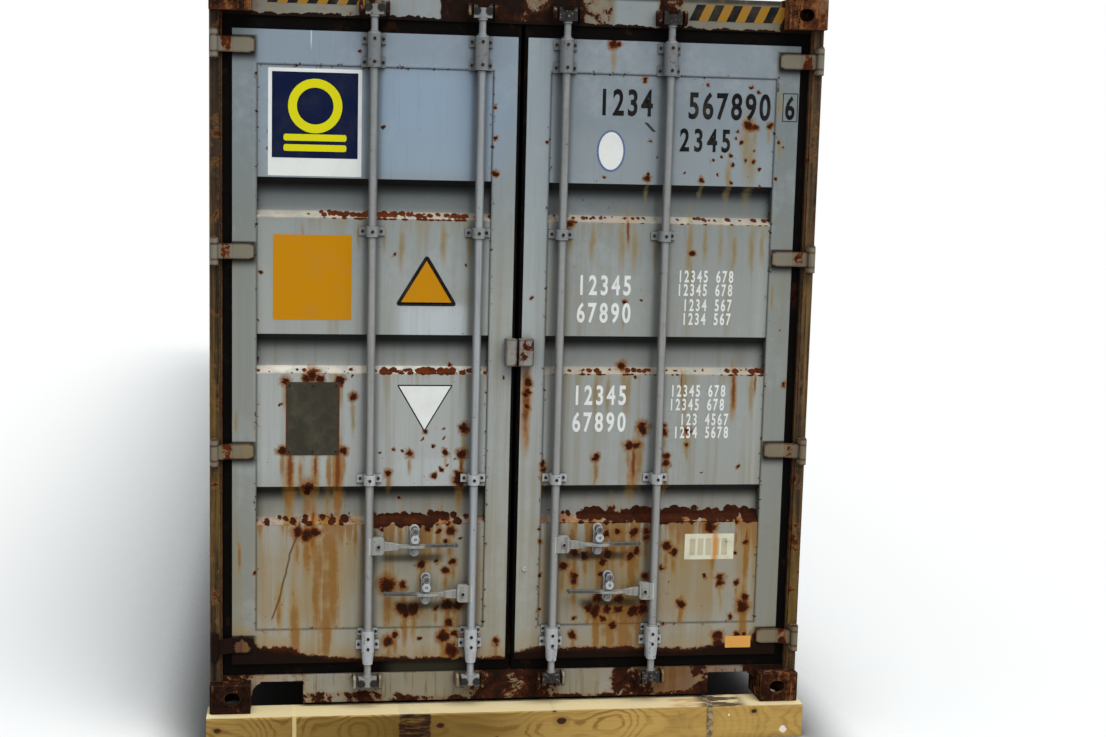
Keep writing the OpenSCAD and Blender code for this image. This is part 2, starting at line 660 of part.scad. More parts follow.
// Lowest bearing: its housing tapers down to the rod's neck
module low_bearing(x) {
  saddle(x, bear_low[0] + taper_h, bear_low[1], bearing_wall, leaf_face);
  ears(x, bear_low[0] + taper_h, bear_low[0] + taper_h + ear_h, ear_w, leaf_face);
  ears(x, bear_low[1] - ear_h * 0.7, bear_low[1], ear_w - 16, leaf_face);
  translate([x, rod_deep, bear_low[0]]) difference() {
    union() {
      cylinder(r1 = rod_r + 3, r2 = rod_r + bearing_wall, h = taper_h);
      block([-rod_r - 1.5, 0, 0], [rod_r + 1.5, leaf_face - rod_deep, taper_h]);
    }
    translate([0, 0, -1]) cylinder(r = rod_r + rod_play, h = taper_h + 2);
  }
}
module high_bearing(x) {
  saddle(x, bear_high[0], bear_high[1], bearing_wall, leaf_face);
  ears(x, bear_high[0], bear_high[0] + ear_h, ear_w, leaf_face);
  ears(x, bear_high[1] - ear_h, bear_high[1], ear_w, leaf_face);
}
module rod_bearings(s) color(galvanised) rear() side(s) for (x = [rod_inner, rod_outer]) {
  low_bearing(x);
  high_bearing(x);
  for (z = guide_zs) {
    saddle(x, z - guide_h / 2, z + guide_h / 2, guide_wall, panel_y);
    ears(x, z - guide_h / 2 + 4, z + guide_h / 2 - 4, ear_w + 6, panel_y);
  }
}

// Lock rod: a tube with necks, thrust collars and a cam at each end
module cam(z, up) translate([0, 0, z]) intersection() {
  cylinder(r = cam_r, h = cam_h);
  translate([0, 0, up ? 0 : cam_h]) mirror([0, 0, up ? 0 : 1]) union() {
    cylinder(r = rod_r + 3, h = cam_h * 0.75);
    along_y(-14, 14) polygon([
      [-cam_r, 0], [cam_r, 0], [cam_r, cam_h], [cam_r - 12, cam_h], [rod_r - 5, cam_h * 0.45],
      [-rod_r + 5, cam_h * 0.45], [-cam_r + 12, cam_h], [-cam_r, cam_h]
    ]);
  }
}
neck_ring = 9;
module lock_rod(x) color(galvanised) rear() translate([x, rod_deep, 0]) {
  translate([0, 0, bear_low[0] - 3]) cylinder(r = rod_r, h = bear_high[1] + 12 - bear_low[0] + 3);
  translate([0, 0, cam_low + cam_h - 6]) cylinder(r = neck_r, h = bear_low[0] - cam_low - cam_h + 6);
  translate([0, 0, bear_high[1]]) cylinder(r = neck_r, h = cam_high + 6 - bear_high[1]);
  translate([0, 0, cam_low + cam_h]) cylinder(r = rod_r + 2, h = neck_ring);
  translate([0, 0, cam_high - neck_ring]) cylinder(r = rod_r + 2, h = neck_ring);
  cam(cam_low, false);
  cam(cam_high, true);
  translate([0, 0, bear_low[1] + rod_play]) cylinder(r = collar_r, h = 7);
  translate([0, 0, bear_high[1] + rod_play]) cylinder(r = collar_r, h = 5);
}
module lock_rod_left_outer() lock_rod(-rod_outer);
module lock_rod_left_inner() lock_rod(-rod_inner);
module lock_rod_right_inner() lock_rod(rod_inner);
module lock_rod_right_outer() lock_rod(rod_outer);

// Forged handle pointing to +X or -X from the rod: a hub block with its bolt, a tapering bar with a wing
// where the catch holds it, and a rounded grip
hub_x1 = 60;
hub_h = 68;
hub_edge = 7;
grip_r = 9;
bar_t = 14;
module hub_outline() polygon([
  [0, -hub_h / 2], [hub_x1 - hub_edge, -hub_h / 2], [hub_x1, -hub_h / 2 + hub_edge],
  [hub_x1, hub_h / 2 - hub_edge], [hub_x1 - hub_edge, hub_h / 2], [0, hub_h / 2]
]);
module handle(x, z, dir) color(galvanised) rear() translate([x, rod_deep, z]) mirror([dir < 0 ? 1 : 0, 0, 0]) {
  difference() {
    along_y(-rod_r, rod_r) hub_outline();
    translate([0, 0, -hub_h]) cylinder(r = rod_r, h = 2 * hub_h);
  }
  translate([38, -rod_r - 6, 0]) rotate([-90, 0, 0]) cylinder(r = 10, h = 6);
  along_y(-bar_t / 2, bar_t / 2) polygon([
    [hub_x1, -20], [catch_off * 0.55, -17], [catch_off * 0.7, -10], [handle_l - grip_r, -grip_r + 1],
    [handle_l - grip_r, grip_r - 2], [catch_off * 1.25, 5], [catch_off, 3], [catch_off * 0.7, 4],
    [catch_off * 0.5, 12], [hub_x1, 16]
  ]);
  translate([0, 0, -7]) linear_extrude(8) polygon([
    [catch_off * 0.6, -bar_t / 2 + 1], [catch_off * 0.85, -22], [catch_off * 1.1, -23],
    [catch_off * 1.35, -bar_t / 2 + 1]
  ]);
  translate([handle_l - grip_r, 0, 0]) rotate([90, 0, 0]) translate([0, 0, -bar_t / 2 - 1])
    cylinder(r = grip_r, h = bar_t + 2);
}
module handle_left_outer() handle(-rod_outer, handle_hi, 1);
module handle_left_inner() handle(-rod_inner, handle_lo, -1);
module handle_right_inner() handle(rod_inner, handle_hi, 1);
module handle_right_outer() handle(rod_outer, handle_lo, -1);

// Catch that keeps a handle down: a base plate, a hasp plate on two bosses above the bar, a round foot below it
catch_w = 36;
hasp_y = [12, 19];
hasp_eye = 58;
hasp_disc = 27;
catch_foot = -34;
catch_front = 40;
module hasp_outline() {
  translate([0, hasp_eye]) circle(r = 15);
  translate([0, hasp_disc]) circle(r = 17);
  translate([-8, hasp_disc]) square([16, hasp_eye - hasp_disc]);
}
module boss(z, r, y0) translate([0, y0, z]) rotate([-90, 0, 0]) cylinder(r = r, h = panel_y - flange_t - y0);
module handle_catch(x, z) translate([x, 0, z]) {
  along_y(panel_y - flange_t, panel_y) {
    translate([-catch_w / 2, catch_foot]) square([catch_w, hasp_eye - catch_foot]);
    for (end = [catch_foot, hasp_eye]) translate([0, end]) circle(r = catch_w / 2 + 2);
  }
  difference() {
    along_y(hasp_y[0], hasp_y[1]) hasp_outline();
    for (end = [hasp_eye, hasp_disc]) translate([0, hasp_y[0] - 1, end]) rotate([-90, 0, 0]) cylinder(r = 6, h = 5);
  }
  boss(hasp_eye, 10, hasp_y[1]);
  boss(hasp_disc, 8, hasp_y[1]);
  boss(catch_foot, 14, catch_front);
}
module door_left_handle_catches() color(galvanised) rear() {
  handle_catch(-rod_outer + catch_off, handle_hi);
  handle_catch(-rod_inner - catch_off, handle_lo);
}
module door_right_handle_catches() color(galvanised) rear() {
  handle_catch(rod_inner + catch_off, handle_hi);
  handle_catch(rod_outer - catch_off, handle_lo);
}

// Lock box over the gap between the leaves, half on each leaf, open at the foot
lock_z = [1413, 1521];
lock_t = 5;
module lock_half(s, reach, y0) color(galvanised) rear() side(s) difference() {
  block([4, y0, lock_z[0]], [reach, leaf_face, lock_z[1]]);
  block([4 + lock_t, y0 + lock_t, lock_z[0] - 1], [reach - lock_t, leaf_face + 1, lock_z[1] - lock_t]);
}
module door_left_lock_box() lock_half(-1, 48, 22);
module door_right_lock_box() lock_half(1, 64, 22);

module door_left_frame() door_frame(-1);
module door_right_frame() door_frame(1);
module door_left_panel() door_panel(-1);
module door_right_panel() door_panel(1);
module door_left_gasket() door_gasket(-1);
module door_right_gasket() door_gasket(1);
module door_left_hinge_blades() hinge_blades(-1);
module door_right_hinge_blades() hinge_blades(1);
module door_left_rod_bearings() rod_bearings(-1);
module door_right_rod_bearings() rod_bearings(1);

plate_x0 = -panel_x1 + plate_side;
plate_z0 = panel_mid - trough_pitch + trough_h / 2 + plate_low;
module data_plate() color(galvanised) rear()
  block([plate_x0, panel_y - 2, plate_z0], [plate_x0 + plate_w, panel_y, plate_z0 + plate_h]);

timber_bearer_rear();
timber_bearer_front();
corner_castings();
bottom_side_rail_left();
bottom_side_rail_right();
cross_members();
gooseneck_tunnel();
floor();
front_sill();
front_header();
front_post_left();
front_post_right();
front_wall();
door_sill();
door_header();
rear_post_left();
rear_post_right();
side_wall_left();
side_wall_right();
top_side_rail_left();
top_side_rail_right();
roof();
roof_corner_plates();
hinge_lugs_left();
hinge_lugs_right();
cam_keepers();
vents();
door_left_frame();
door_left_panel();
door_left_gasket();
door_left_hinge_blades();
door_left_rod_bearings();
door_left_handle_catches();
door_left_lock_box();
data_plate();
door_right_frame();
door_right_panel();
door_right_gasket();
door_right_hinge_blades();
door_right_rod_bearings();
door_right_handle_catches();
door_right_lock_box();
lock_rod_left_outer();
lock_rod_left_inner();
lock_rod_right_inner();
lock_rod_right_outer();
handle_left_outer();
handle_left_inner();
handle_right_inner();
handle_right_outer();
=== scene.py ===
"""Shipping container on timber bearers: the finish of its surfaces, marks, fastenings and the stage."""
import contextlib
import math

import bpy
from bpy.props import FloatProperty, FloatVectorProperty, PointerProperty
from mathutils import Matrix, Vector


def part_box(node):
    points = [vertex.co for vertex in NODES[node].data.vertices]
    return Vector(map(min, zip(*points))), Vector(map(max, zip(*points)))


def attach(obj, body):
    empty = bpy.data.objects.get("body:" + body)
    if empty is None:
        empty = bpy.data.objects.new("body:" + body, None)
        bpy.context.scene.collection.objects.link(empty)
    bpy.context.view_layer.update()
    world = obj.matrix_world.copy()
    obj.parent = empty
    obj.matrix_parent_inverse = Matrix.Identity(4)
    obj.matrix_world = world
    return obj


bl_info = {
    "name": "Shipping container finish",
    "version": (1, 0, 0),
    "blender": (4, 5, 0),
    "location": "View3D > Sidebar > Container",
    "description": "Paint, rust, marks and fastenings of a shipping container on timber bearers",
    "category": "Object",
}

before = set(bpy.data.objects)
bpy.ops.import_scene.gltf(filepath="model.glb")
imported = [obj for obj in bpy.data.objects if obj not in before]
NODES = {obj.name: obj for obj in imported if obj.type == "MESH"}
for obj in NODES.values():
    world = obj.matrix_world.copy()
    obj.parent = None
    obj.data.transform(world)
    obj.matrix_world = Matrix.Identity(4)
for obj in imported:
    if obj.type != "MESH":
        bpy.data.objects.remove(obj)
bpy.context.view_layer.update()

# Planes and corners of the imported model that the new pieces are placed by, in metres
REAR_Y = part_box("corner_castings")[0].y
FOOT_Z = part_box("corner_castings")[0].z
HALF_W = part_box("corner_castings")[1].x
PANEL_LOW, PANEL_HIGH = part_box("door_right_panel")
LEAF_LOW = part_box("door_right_frame")[0]
PANEL_Y = PANEL_LOW.y
LEAF_Y = LEAF_LOW.y
SILL_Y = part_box("door_sill")[0].y
HEADER_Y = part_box("door_header")[0].y
HEADER_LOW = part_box("door_header")[0].z
RODS = ("left_outer", "left_inner", "right_inner", "right_outer")
ROD_BOXES = {side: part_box(f"lock_rod_{side}") for side in RODS}
ROD_X = {side: (low.x + high.x) / 2 for side, (low, high) in ROD_BOXES.items()}
MM = 0.001


def tone(red, green, blue):
    """A colour given in display values from 0 to 255, as the linear values that a shader takes."""
    def linear(value):
        value /= 255
        return value / 12.92 if value <= 0.04045 else ((value + 0.055) / 1.055) ** 2.4
    return (linear(red), linear(green), linear(blue))


def colour_setting(name, description, value):
    return FloatVectorProperty(
        name=name, description=description, subtype="COLOR", default=value, min=0, max=1)


def length_setting(name, description, value):
    return FloatProperty(name=name, description=description, default=value, min=0, unit="LENGTH")


class ContainerColours(bpy.types.PropertyGroup):
    """Colours of paints, rust, metals, timber and marks."""
    paint_low: colour_setting("Lowest paint", "Door paint below the third trough", tone(144, 142, 130))
    paint_mid: colour_setting("Middle paint", "Door paint round the data plate", tone(150, 153, 149))
    paint_high: colour_setting("Upper paint", "Door paint above the second trough", tone(146, 149, 144))
    paint_dull: colour_setting("Dull paint", "Door paint round the first trough", tone(132, 138, 136))
    paint_top: colour_setting("Top paint, left", "Bluer paint of the left door", tone(127, 140, 151))
    paint_top_right: colour_setting("Top paint, right", "Bluer paint of the right door", tone(123, 133, 139))
    paint_chalk: colour_setting("Chalked paint", "Pale bloom on weathered paint", tone(172, 180, 182))
    paint_stain: colour_setting("Stain", "Yellow-brown stain that runs down the paint", tone(142, 112, 50))
    stain_deep: colour_setting("Deep stain", "Brown heart of a stain", tone(124, 82, 22))
    # Cream of the lower lips, lighter than the door paint partly as a painted highlight
    lip_paint_and_highlight: colour_setting("Lip paint", "Cream paint on the lower lips of the troughs", tone(172, 164, 148))
    rust_bright: colour_setting("Bright rust", "Thin film of rust", tone(144, 76, 22))
    rust_mid: colour_setting("Rust", "Common rust", tone(90, 38, 9))
    rust_dark: colour_setting("Dark rust", "Thick scale in the middle of a spot", tone(50, 20, 5))
    rust_black: colour_setting("Black rust", "Wet, blackened scale", tone(22, 9, 3))
    side_paint: colour_setting("Body paint", "Paint of the side walls, rails and roof", tone(122, 132, 137))
    cream: colour_setting("Cream paint", "Paint of the sill, the header and the hinges", tone(122, 116, 98))
    post: colour_setting("Post paint", "Stained paint of the rear posts", tone(84, 68, 46))
    zinc: colour_setting("Zinc", "Galvanised bearings, catches and handles", tone(170, 172, 173))
    handle: colour_setting("Handle zinc", "Duller zinc of the handles", tone(138, 138, 132))
    rod: colour_setting("Rod zinc", "Greyer zinc of the lock rods", tone(140, 140, 137))
    rubber: colour_setting("Seal", "Rubber of the door seals", tone(8, 6, 5))
    coating: colour_setting("Underside coating", "Black wax on the cross members", tone(36, 33, 29))
    ply: colour_setting("Floor", "Worn face of the floor boards", tone(132, 98, 64))
    pine: colour_setting("Pine", "Face of the timber bearers", tone(182, 148, 80))
    pine_late: colour_setting("Late wood", "Dark lines of the timber's grain", tone(112, 78, 28))
    plate: colour_setting("Plate", "Dull face of the data plate", tone(44, 41, 30))
    patch_blue: colour_setting("Blue patch", "Dark field of the square patch", tone(8, 20, 52))
    patch_yellow: colour_setting("Yellow patch", "Yellow of the square patch", tone(208, 202, 14))
    patch_orange: colour_setting("Orange patch", "Field of the orange panel", tone(184, 124, 0))
    white: colour_setting("White mark", "White borders and digits", tone(216, 218, 214))
    black: colour_setting("Black mark", "Black borders and digits", tone(18, 18, 20))
    floor: colour_setting("Stage floor", "Plain pale floor under the container", tone(214, 214, 212))


class ContainerSizes(bpy.types.PropertyGroup):
    """Sizes of the marks and fastenings."""
    mark_skin: length_setting("Mark thickness", "Thickness of a painted or glued mark", 0.5 * MM)
    bolt_head: length_setting("Bolt head", "Width across the head of a bearing bolt", 20 * MM)
    screw_head: length_setting("Screw head", "Width of a set screw's socket head", 13 * MM)
    rivet_head: length_setting("Rivet head", "Width of a rivet on the data plate", 9 * MM)
    weld: length_setting("Weld bead", "Width of a weld bead", 7 * MM)


class Value:
    """A number, colour or vector inside a material, with Python's arithmetic for numbers."""

    def __init__(self, surface, socket):
        self.surface = surface
        self.socket = socket

    def sum(self, operation, *terms):
        return self.surface.node("ShaderNodeMath", {"operation": operation}, dict(enumerate(terms)))

    def __add__(self, other):
        return self.sum("ADD", self, other)

    def __sub__(self, other):
        return self.sum("SUBTRACT", self, other)

    def __rsub__(self, other):
        return self.sum("SUBTRACT", other, self)

    def __mul__(self, other):
        return self.sum("MULTIPLY", self, other)

    def __truediv__(self, other):
        return self.sum("DIVIDE", self, other)

    def __pow__(self, other):
        return self.sum("POWER", self, other)

    def __neg__(self):
        return self.sum("MULTIPLY", self, -1)

    def __abs__(self):
        return self.sum("ABSOLUTE", self)

    __radd__ = __add__
    __rmul__ = __mul__

    def top(self, other):
        return self.sum("MAXIMUM", self, other)

    def least(self, other):
        return self.sum("MINIMUM", self, other)

    def held(self):
        """The value kept between 0 and 1."""
        return self.surface.node("ShaderNodeClamp", {}, {"Value": self})


class Tree:
    """The nodes of a material or of the world, built by one method for any kind of node."""

    def __init__(self, owner):
        owner.use_nodes = True
        self.tree = owner.node_tree
        self.tree.nodes.clear()

    def plug(self, socket, value):
        """Links a value to a socket, or sets a plain number or colour on it."""
        if isinstance(value, Value):
            self.tree.links.new(value.socket, socket)
        elif hasattr(socket.default_value, "__len__") and len(socket.default_value) == 4:
            socket.default_value = (*value[:3], 1)
        else:
            socket.default_value = value

    def node(self, kind, settings=None, sockets=None, output=0):
        """One node of any kind: its settings first, then the values or links of its sockets."""
        made = self.tree.nodes.new(kind)
        for key, value in (settings or {}).items():
            if key == "stops":
                self.set_stops(made.color_ramp, value)
            else:
                setattr(made, key, value)
        for key, value in (sockets or {}).items():
            self.plug(made.inputs[key], value)
        return Value(self, made.outputs[output])

    def set_stops(self, ramp, stops):
        """Gives a colour ramp its stops, each (place, colour)."""
        while len(ramp.elements) < len(stops):
            ramp.elements.new(1)
        for element, (place, colour) in zip(ramp.elements, stops):
            element.position = place
            element.color = (*colour[:3], 1)

    def ramp(self, value, stops):
        """The colour that a value from 0 to 1 picks between stops."""
        return self.node("ShaderNodeValToRGB", {"stops": stops}, {0: value})


class Surface(Tree):
    """A material under construction: its shader, the place on the object and the texture helpers."""

    def __init__(self, name, **constants):
        self.material = bpy.data.materials.new(name)
        super().__init__(self.material)
        self.shader = self.tree.nodes.new("ShaderNodeBsdfPrincipled")
        for socket, value in constants.items():
            self.plug(self.shader.inputs[socket.replace("_", " ").title().replace("Ior", "IOR")], value)
        self.output = self.tree.nodes.new("ShaderNodeOutputMaterial")
        self.tree.links.new(self.shader.outputs[0], self.output.inputs[0])
        self.place = self.node("ShaderNodeTexCoord", output="Object")
        axes = (self.node("ShaderNodeSeparateXYZ", {}, {0: self.place}, axis) for axis in range(3))
        self.x, self.y, self.z = axes
        self.height = self.z - FOOT_Z

    def mix(self, share, first, second):
        """The first colour where share is 0, the second one where it is 1."""
        return self.node("ShaderNodeMix", {"data_type": "RGBA"}, {0: share, 6: first, 7: second}, 2)

    def scaled(self, sizes):
        """The place with its axes multiplied by three sizes."""
        return self.node("ShaderNodeVectorMath", {"operation": "MULTIPLY"}, {0: self.place, 1: sizes})

    def noise(self, scale, detail=3, roughness=0.6, stretch=None, warp=0):
        """Noise in the part's own space; stretch multiplies its axes."""
        place = self.scaled(stretch) if stretch else self.place
        return self.node("ShaderNodeTexNoise", {}, {
            "Vector": place, "Scale": scale, "Detail": detail, "Roughness": roughness, "Distortion": warp})

    def smooth(self, value, low, high):
        """0 where value is at low, 1 where it is at high, eased between them."""
        sockets = {"Value": value, "From Min": low, "From Max": high}
        return self.node("ShaderNodeMapRange", {"interpolation_type": "SMOOTHSTEP"}, sockets)

    def between(self, value, low, high, soft):
        """1 from low to high, 0 outside, with soft edges."""
        return self.smooth(value, low - soft, low + soft) * self.smooth(value, high + soft, high - soft)

    def shake(self, amount, scale, detail=3, roughness=0.6):
        """Noise about zero, to break up a straight edge."""
        return (self.noise(scale, detail, roughness) - 0.5) * amount

    def profile(self, value, *points):
        """A level read off given (place, level) points, with the places in millimetres."""
        low, high = points[0][0], points[-1][0]
        stops = [((place - low) / (high - low), (level,) * 3) for place, level in points]
        return self.ramp(value / ((high - low) * MM) - low / (high - low), stops)

    def finish(self, base, rough, height, distance, strength):
        """The material, with its colour, roughness and a relief of a depth in metres plugged in."""
        depths = {"Height": height, "Distance": distance, "Strength": strength}
        relief = self.node("ShaderNodeBump", {}, depths)
        for name, value in (("Base Color", base), ("Roughness", rough), ("Normal", relief)):
            self.plug(self.shader.inputs[name], value)
        return self.material


def colours():
    """The colour settings of the scene."""
    return bpy.context.scene.container_colours


def sizes():
    """The size settings of the scene."""
    return bpy.context.scene.container_sizes


def dress(material, *names):
    """Gives CAD nodes a material in place of their own."""
    for name in names:
        slots = NODES[name].data.materials
        slots.clear()
        slots.append(material)


def rust_tone(s, depth):
    """Rust from a thin brown film to dark scale, for a depth from 0 to 1."""
    c = colours()
    grain = s.noise(150, 4, 0.75)
    cloud = s.noise(26, 4, 0.65)
    level = depth * 0.5 + cloud * 0.6 + grain * 0.4 - 0.28
    return s.ramp(level, [
        (0.1, c.rust_bright), (0.36, c.rust_mid), (0.62, c.rust_dark), (0.95, c.rust_black)])


# Rays that the painted shade in corners and the wear of edges are found with
CORNER_SAMPLES = 6
EDGE_SAMPLES = 4


def corner_shade(s, reach):
    """Painted shade from ambient occlusion: 1 in corners and behind other pieces, 0 on open faces."""
    share = s.node("ShaderNodeAmbientOcclusion", {"samples": CORNER_SAMPLES}, {"Distance": reach}, "AO")
    return s.smooth(share, 0.8, 0.25)


def worn_edges(s, radius):
    """1 along sharp edges, 0 on flat faces."""
    soft = s.node("ShaderNodeBevel", {"samples": EDGE_SAMPLES}, {"Radius": radius})
    true = s.node("ShaderNodeNewGeometry", output="True Normal")
    likeness = s.node("ShaderNodeVectorMath", {"operation": "DOT_PRODUCT"}, {0: soft, 1: true}, "Value")
    return s.smooth(likeness, 0.985, 0.86)


def rounded(s, place, spots, squeeze=1.0):
    """1 in the middle of the nearest of several round spots, 0 at its rim and less outside.

    Each spot is (x, height, radius) in millimetres. squeeze above 1 draws the spots out downwards.
    """
    best = None
    for x, height, radius in spots:
        middle = (x * MM, 0, (FOOT_Z + height * MM) / squeeze)
        gap = s.node("ShaderNodeVectorMath", {"operation": "DISTANCE"}, {0: place, 1: middle}, "Value")
        fill = s.node("ShaderNodeMath", {"operation": "MULTIPLY_ADD"}, {0: gap, 1: -1 / (radius * MM), 2: 1})
        best = fill if best is None else best.top(fill)
    return best


def wavering(s, amount, scale=14, squeeze=1.0):
    """The place on a door face with its depth dropped and its outline shaken by noise."""
    shake = s.node("ShaderNodeTexNoise", {}, {
        "Vector": s.place, "Scale": scale, "Detail": 4, "Roughness": 0.7}, 1)
    centred = s.node("ShaderNodeVectorMath", {"operation": "SUBTRACT"}, {0: shake, 1: (0.5, 0.5, 0.5)})
    moved = s.node(
        "ShaderNodeVectorMath", {"operation": "MULTIPLY_ADD"}, {0: centred, 1: (amount,) * 3, 2: s.place}
    )
    flat = (1, 0, 1 / squeeze)
    return s.node("ShaderNodeVectorMath", {"operation": "MULTIPLY"}, {0: moved, 1: flat})


# Rust spots that stand out on the doors, as (x, height above the casting foot, radius) in millimetres
LEFT_SPOTS = [
    (-105, 2320, 9), (-108, 2440, 7), (-100, 2180, 10), (-640, 2640, 6), (-990, 2440, 7), (-990, 2330, 9),
    (-990, 2260, 8), (-962, 1836, 6), (-545, 2350, 6), (-498, 1855, 7), (-212, 1816, 4), (-1025, 1776, 7),
    (-658, 1280, 16), (-658, 1365, 5), (-205, 1152, 20), (-264, 1408, 7), (-815, 1366, 24),
    (-924, 1342, 19), (-709, 1343, 17), (-846, 1352, 15), (-784, 1352, 15), (-942, 1247, 5),
    (-287, 1148, 5), (-48, 1360, 6), (-366, 1139, 9), (-377, 1109, 5), (-287, 1109, 5), (-329, 1078, 6),
    (-282, 1057, 12), (-428, 1050, 14), (-214, 1048, 20), (-245, 1027, 5), (-277, 1004, 5), (-300, 985, 9),
    (-327, 960, 11), (-509, 974, 15), (-493, 1060, 7), (-456, 1063, 5), (-549, 1048, 5), (-220, 937, 25),
    (-224, 964, 18), (-832, 913, 26), (-830, 887, 17), (-462, 864, 7), (-934, 1064, 18), (-692, 1064, 18),
    (-528, 736, 10), (-348, 739, 11), (-303, 728, 10), (-254, 728, 20), (-276, 684, 9), (-219, 695, 5),
    (-371, 592, 18), (-311, 599, 8), (-242, 600, 15), (-274, 564, 15), (-511, 507, 32), (-447, 504, 17),
    (-445, 407, 26), (-404, 403, 26), (-434, 388, 18), (-309, 405, 12), (-264, 420, 23), (-218, 419, 23),
    (-255, 342, 17), (-474, 299, 15), (-504, 272, 21), (-231, 298, 15), (-277, 287, 26), (-245, 228, 28),
    (-375, 278, 7), (-1042, 560, 8), (-60, 262, 16), (-872, 726, 24), (-838, 718, 26), (-802, 728, 20),
]
RIGHT_SPOTS = [
    (362, 2700, 18), (385, 2702, 10), (494, 2562, 9), (753, 2551, 6), (931, 2546, 7), (958, 2527, 5),
    (929, 2394, 20), (1016, 2394, 12), (955, 2388, 13), (882, 2367, 6), (899, 2327, 7), (875, 2343, 5),
    (1059, 2328, 6), (1080, 2311, 5), (524, 2327, 6), (553, 2259, 4), (339, 2173, 6), (517, 2172, 13),
    (520, 2189, 7), (673, 2196, 5), (738, 2170, 12), (782, 2251, 6), (822, 2265, 5), (860, 2270, 6),
    (864, 2236, 7), (865, 2163, 6), (919, 2248, 6), (955, 2242, 8), (960, 2293, 5), (978, 2216, 6),
    (1051, 2180, 7), (983, 2151, 5), (808, 2189, 5), (108, 2311, 6), (52, 1684, 7), (437, 1672, 10),
    (510, 1680, 5), (714, 1874, 11), (208, 1984, 18), (440, 1408, 17), (495, 1364, 7), (529, 1156, 24),
    (622, 1163, 13), (623, 1136, 15), (1118, 1338, 11), (1092, 1565, 3), (721, 1144, 17), (48, 1308, 14),
    (338, 1032, 15), (476, 1084, 18), (507, 1081, 15), (536, 1138, 17), (120, 1008, 14), (123, 981, 14),
    (122, 951, 12), (633, 1038, 14), (635, 1007, 15), (936, 990, 8), (719, 1084, 8), (788, 969, 4),
    (441, 720, 14), (507, 715, 20), (562, 722, 17), (563, 691, 17), (390, 712, 14), (261, 636, 21),
    (304, 619, 15), (401, 630, 23), (382, 591, 17), (495, 617, 20), (525, 637, 18), (216, 577, 21),
    (261, 538, 18), (260, 514, 18), (378, 540, 15), (564, 530, 15), (650, 655, 18), (679, 631, 18),
    (634, 564, 11), (833, 736, 25), (986, 671, 12), (944, 632, 8), (943, 762, 11), (821, 526, 9),
    (885, 518, 18), (886, 494, 15), (954, 497, 12), (718, 409, 17), (986, 396, 28), (996, 432, 17),
    (932, 349, 12), (326, 395, 20), (353, 383, 28), (363, 438, 23), (404, 390, 18), (451, 385, 21),
    (453, 436, 20), (514, 380, 23), (557, 387, 26), (556, 427, 18), (268, 352, 9), (389, 350, 14),
    (430, 322, 18), (262, 285, 18), (646, 322, 8), (883, 266, 22), (888, 234, 22), (963, 272, 14),
    (995, 272, 11), (1048, 259, 20), (116, 684, 8), (111, 730, 7), (116, 540, 7), (116, 394, 7),
    (50, 1345, 18), (40, 1290, 13), (46, 1240, 12),
]
# Long stains on the paint, as (x, height of the middle, half width); each is drawn out downwards
STAIN_DRAW = 7.0
LEFT_STAINS = [
    (-901, 960, 26), (-713, 960, 26), (-802, 985, 24), (-860, 975, 14), (-750, 975, 14), (-905, 860, 24),
    (-715, 860, 24), (-829, 640, 16), (-806, 720, 22), (-784, 590, 30), (-735, 600, 32), (-758, 700, 34),
    (-791, 463, 26), (-724, 462, 30), (-757, 500, 30), (-946, 404, 20), (-640, 720, 14), (-560, 700, 14),
    (-511, 440, 22), (-437, 340, 20), (-405, 340, 16), (-300, 700, 20), (-262, 372, 16), (-233, 392, 16),
    (-277, 240, 22), (-460, 720, 14), (-214, 990, 14), (-222, 880, 16), (-655, 1185, 10), (-880, 300, 34),
    (-760, 320, 34), (-640, 1930, 10), (-540, 1920, 10), (-470, 1880, 18), (-300, 1900, 16),
    (-200, 1905, 14), (-860, 1925, 10), (-1118, 1180, 8), (-1105, 640, 9), (-1125, 1840, 8),
    (-590, 300, 20),
]
RIGHT_STAINS = [
    (250, 690, 14), (332, 700, 20), (418, 681, 23), (465, 680, 23), (508, 640, 24), (456, 712, 18),
    (508, 560, 23), (363, 620, 20), (408, 290, 42), (479, 285, 42), (360, 300, 24), (540, 300, 22),
    (606, 679, 9), (699, 709, 12), (740, 678, 11), (854, 610, 16), (946, 675, 10), (989, 600, 15),
    (1000, 690, 14), (889, 422, 12), (988, 330, 24), (718, 380, 9), (490, 960, 24), (520, 1040, 22),
    (635, 930, 12), (338, 970, 7), (721, 1080, 9), (700, 1300, 12), (462, 1310, 14), (380, 1290, 12),
    (909, 1290, 18), (985, 1300, 14), (714, 1800, 9), (437, 1610, 9), (330, 1300, 12), (300, 1916, 14),
    (420, 1915, 20), (470, 1900, 22), (560, 1880, 14), (700, 1900, 20), (765, 1920, 14), (830, 1920, 16),
    (890, 1890, 12), (960, 1900, 16), (1005, 1910, 14), (48, 1250, 16), (50, 1120, 12), (1052, 2480, 10),
    (1058, 2300, 8), (922, 2330, 26), (940, 2260, 26), (1055, 1700, 10), (517, 2130, 8), (850, 2180, 16),
]
# Spots over this radius in millimetres have a drip, drawn out downwards
LARGE_SPOT = 11
DRIP_DRAW = 4.0
# Dark hearts of the heaviest runs, as (x, height of the middle, half width)
RUN_DRAW = 9.0
LEFT_RUNS = [(-903, 985, 12), (-714, 980, 12), (-803, 1000, 6), (-215, 985, 7), (-812, 745, 10)]
RIGHT_RUNS = [
    (43, 1275, 17), (909, 1310, 9), (1000, 1340, 5), (687, 1350, 4), (49, 1260, 8), (496, 1010, 9),
    (990, 690, 5), (445, 1960, 6),
]
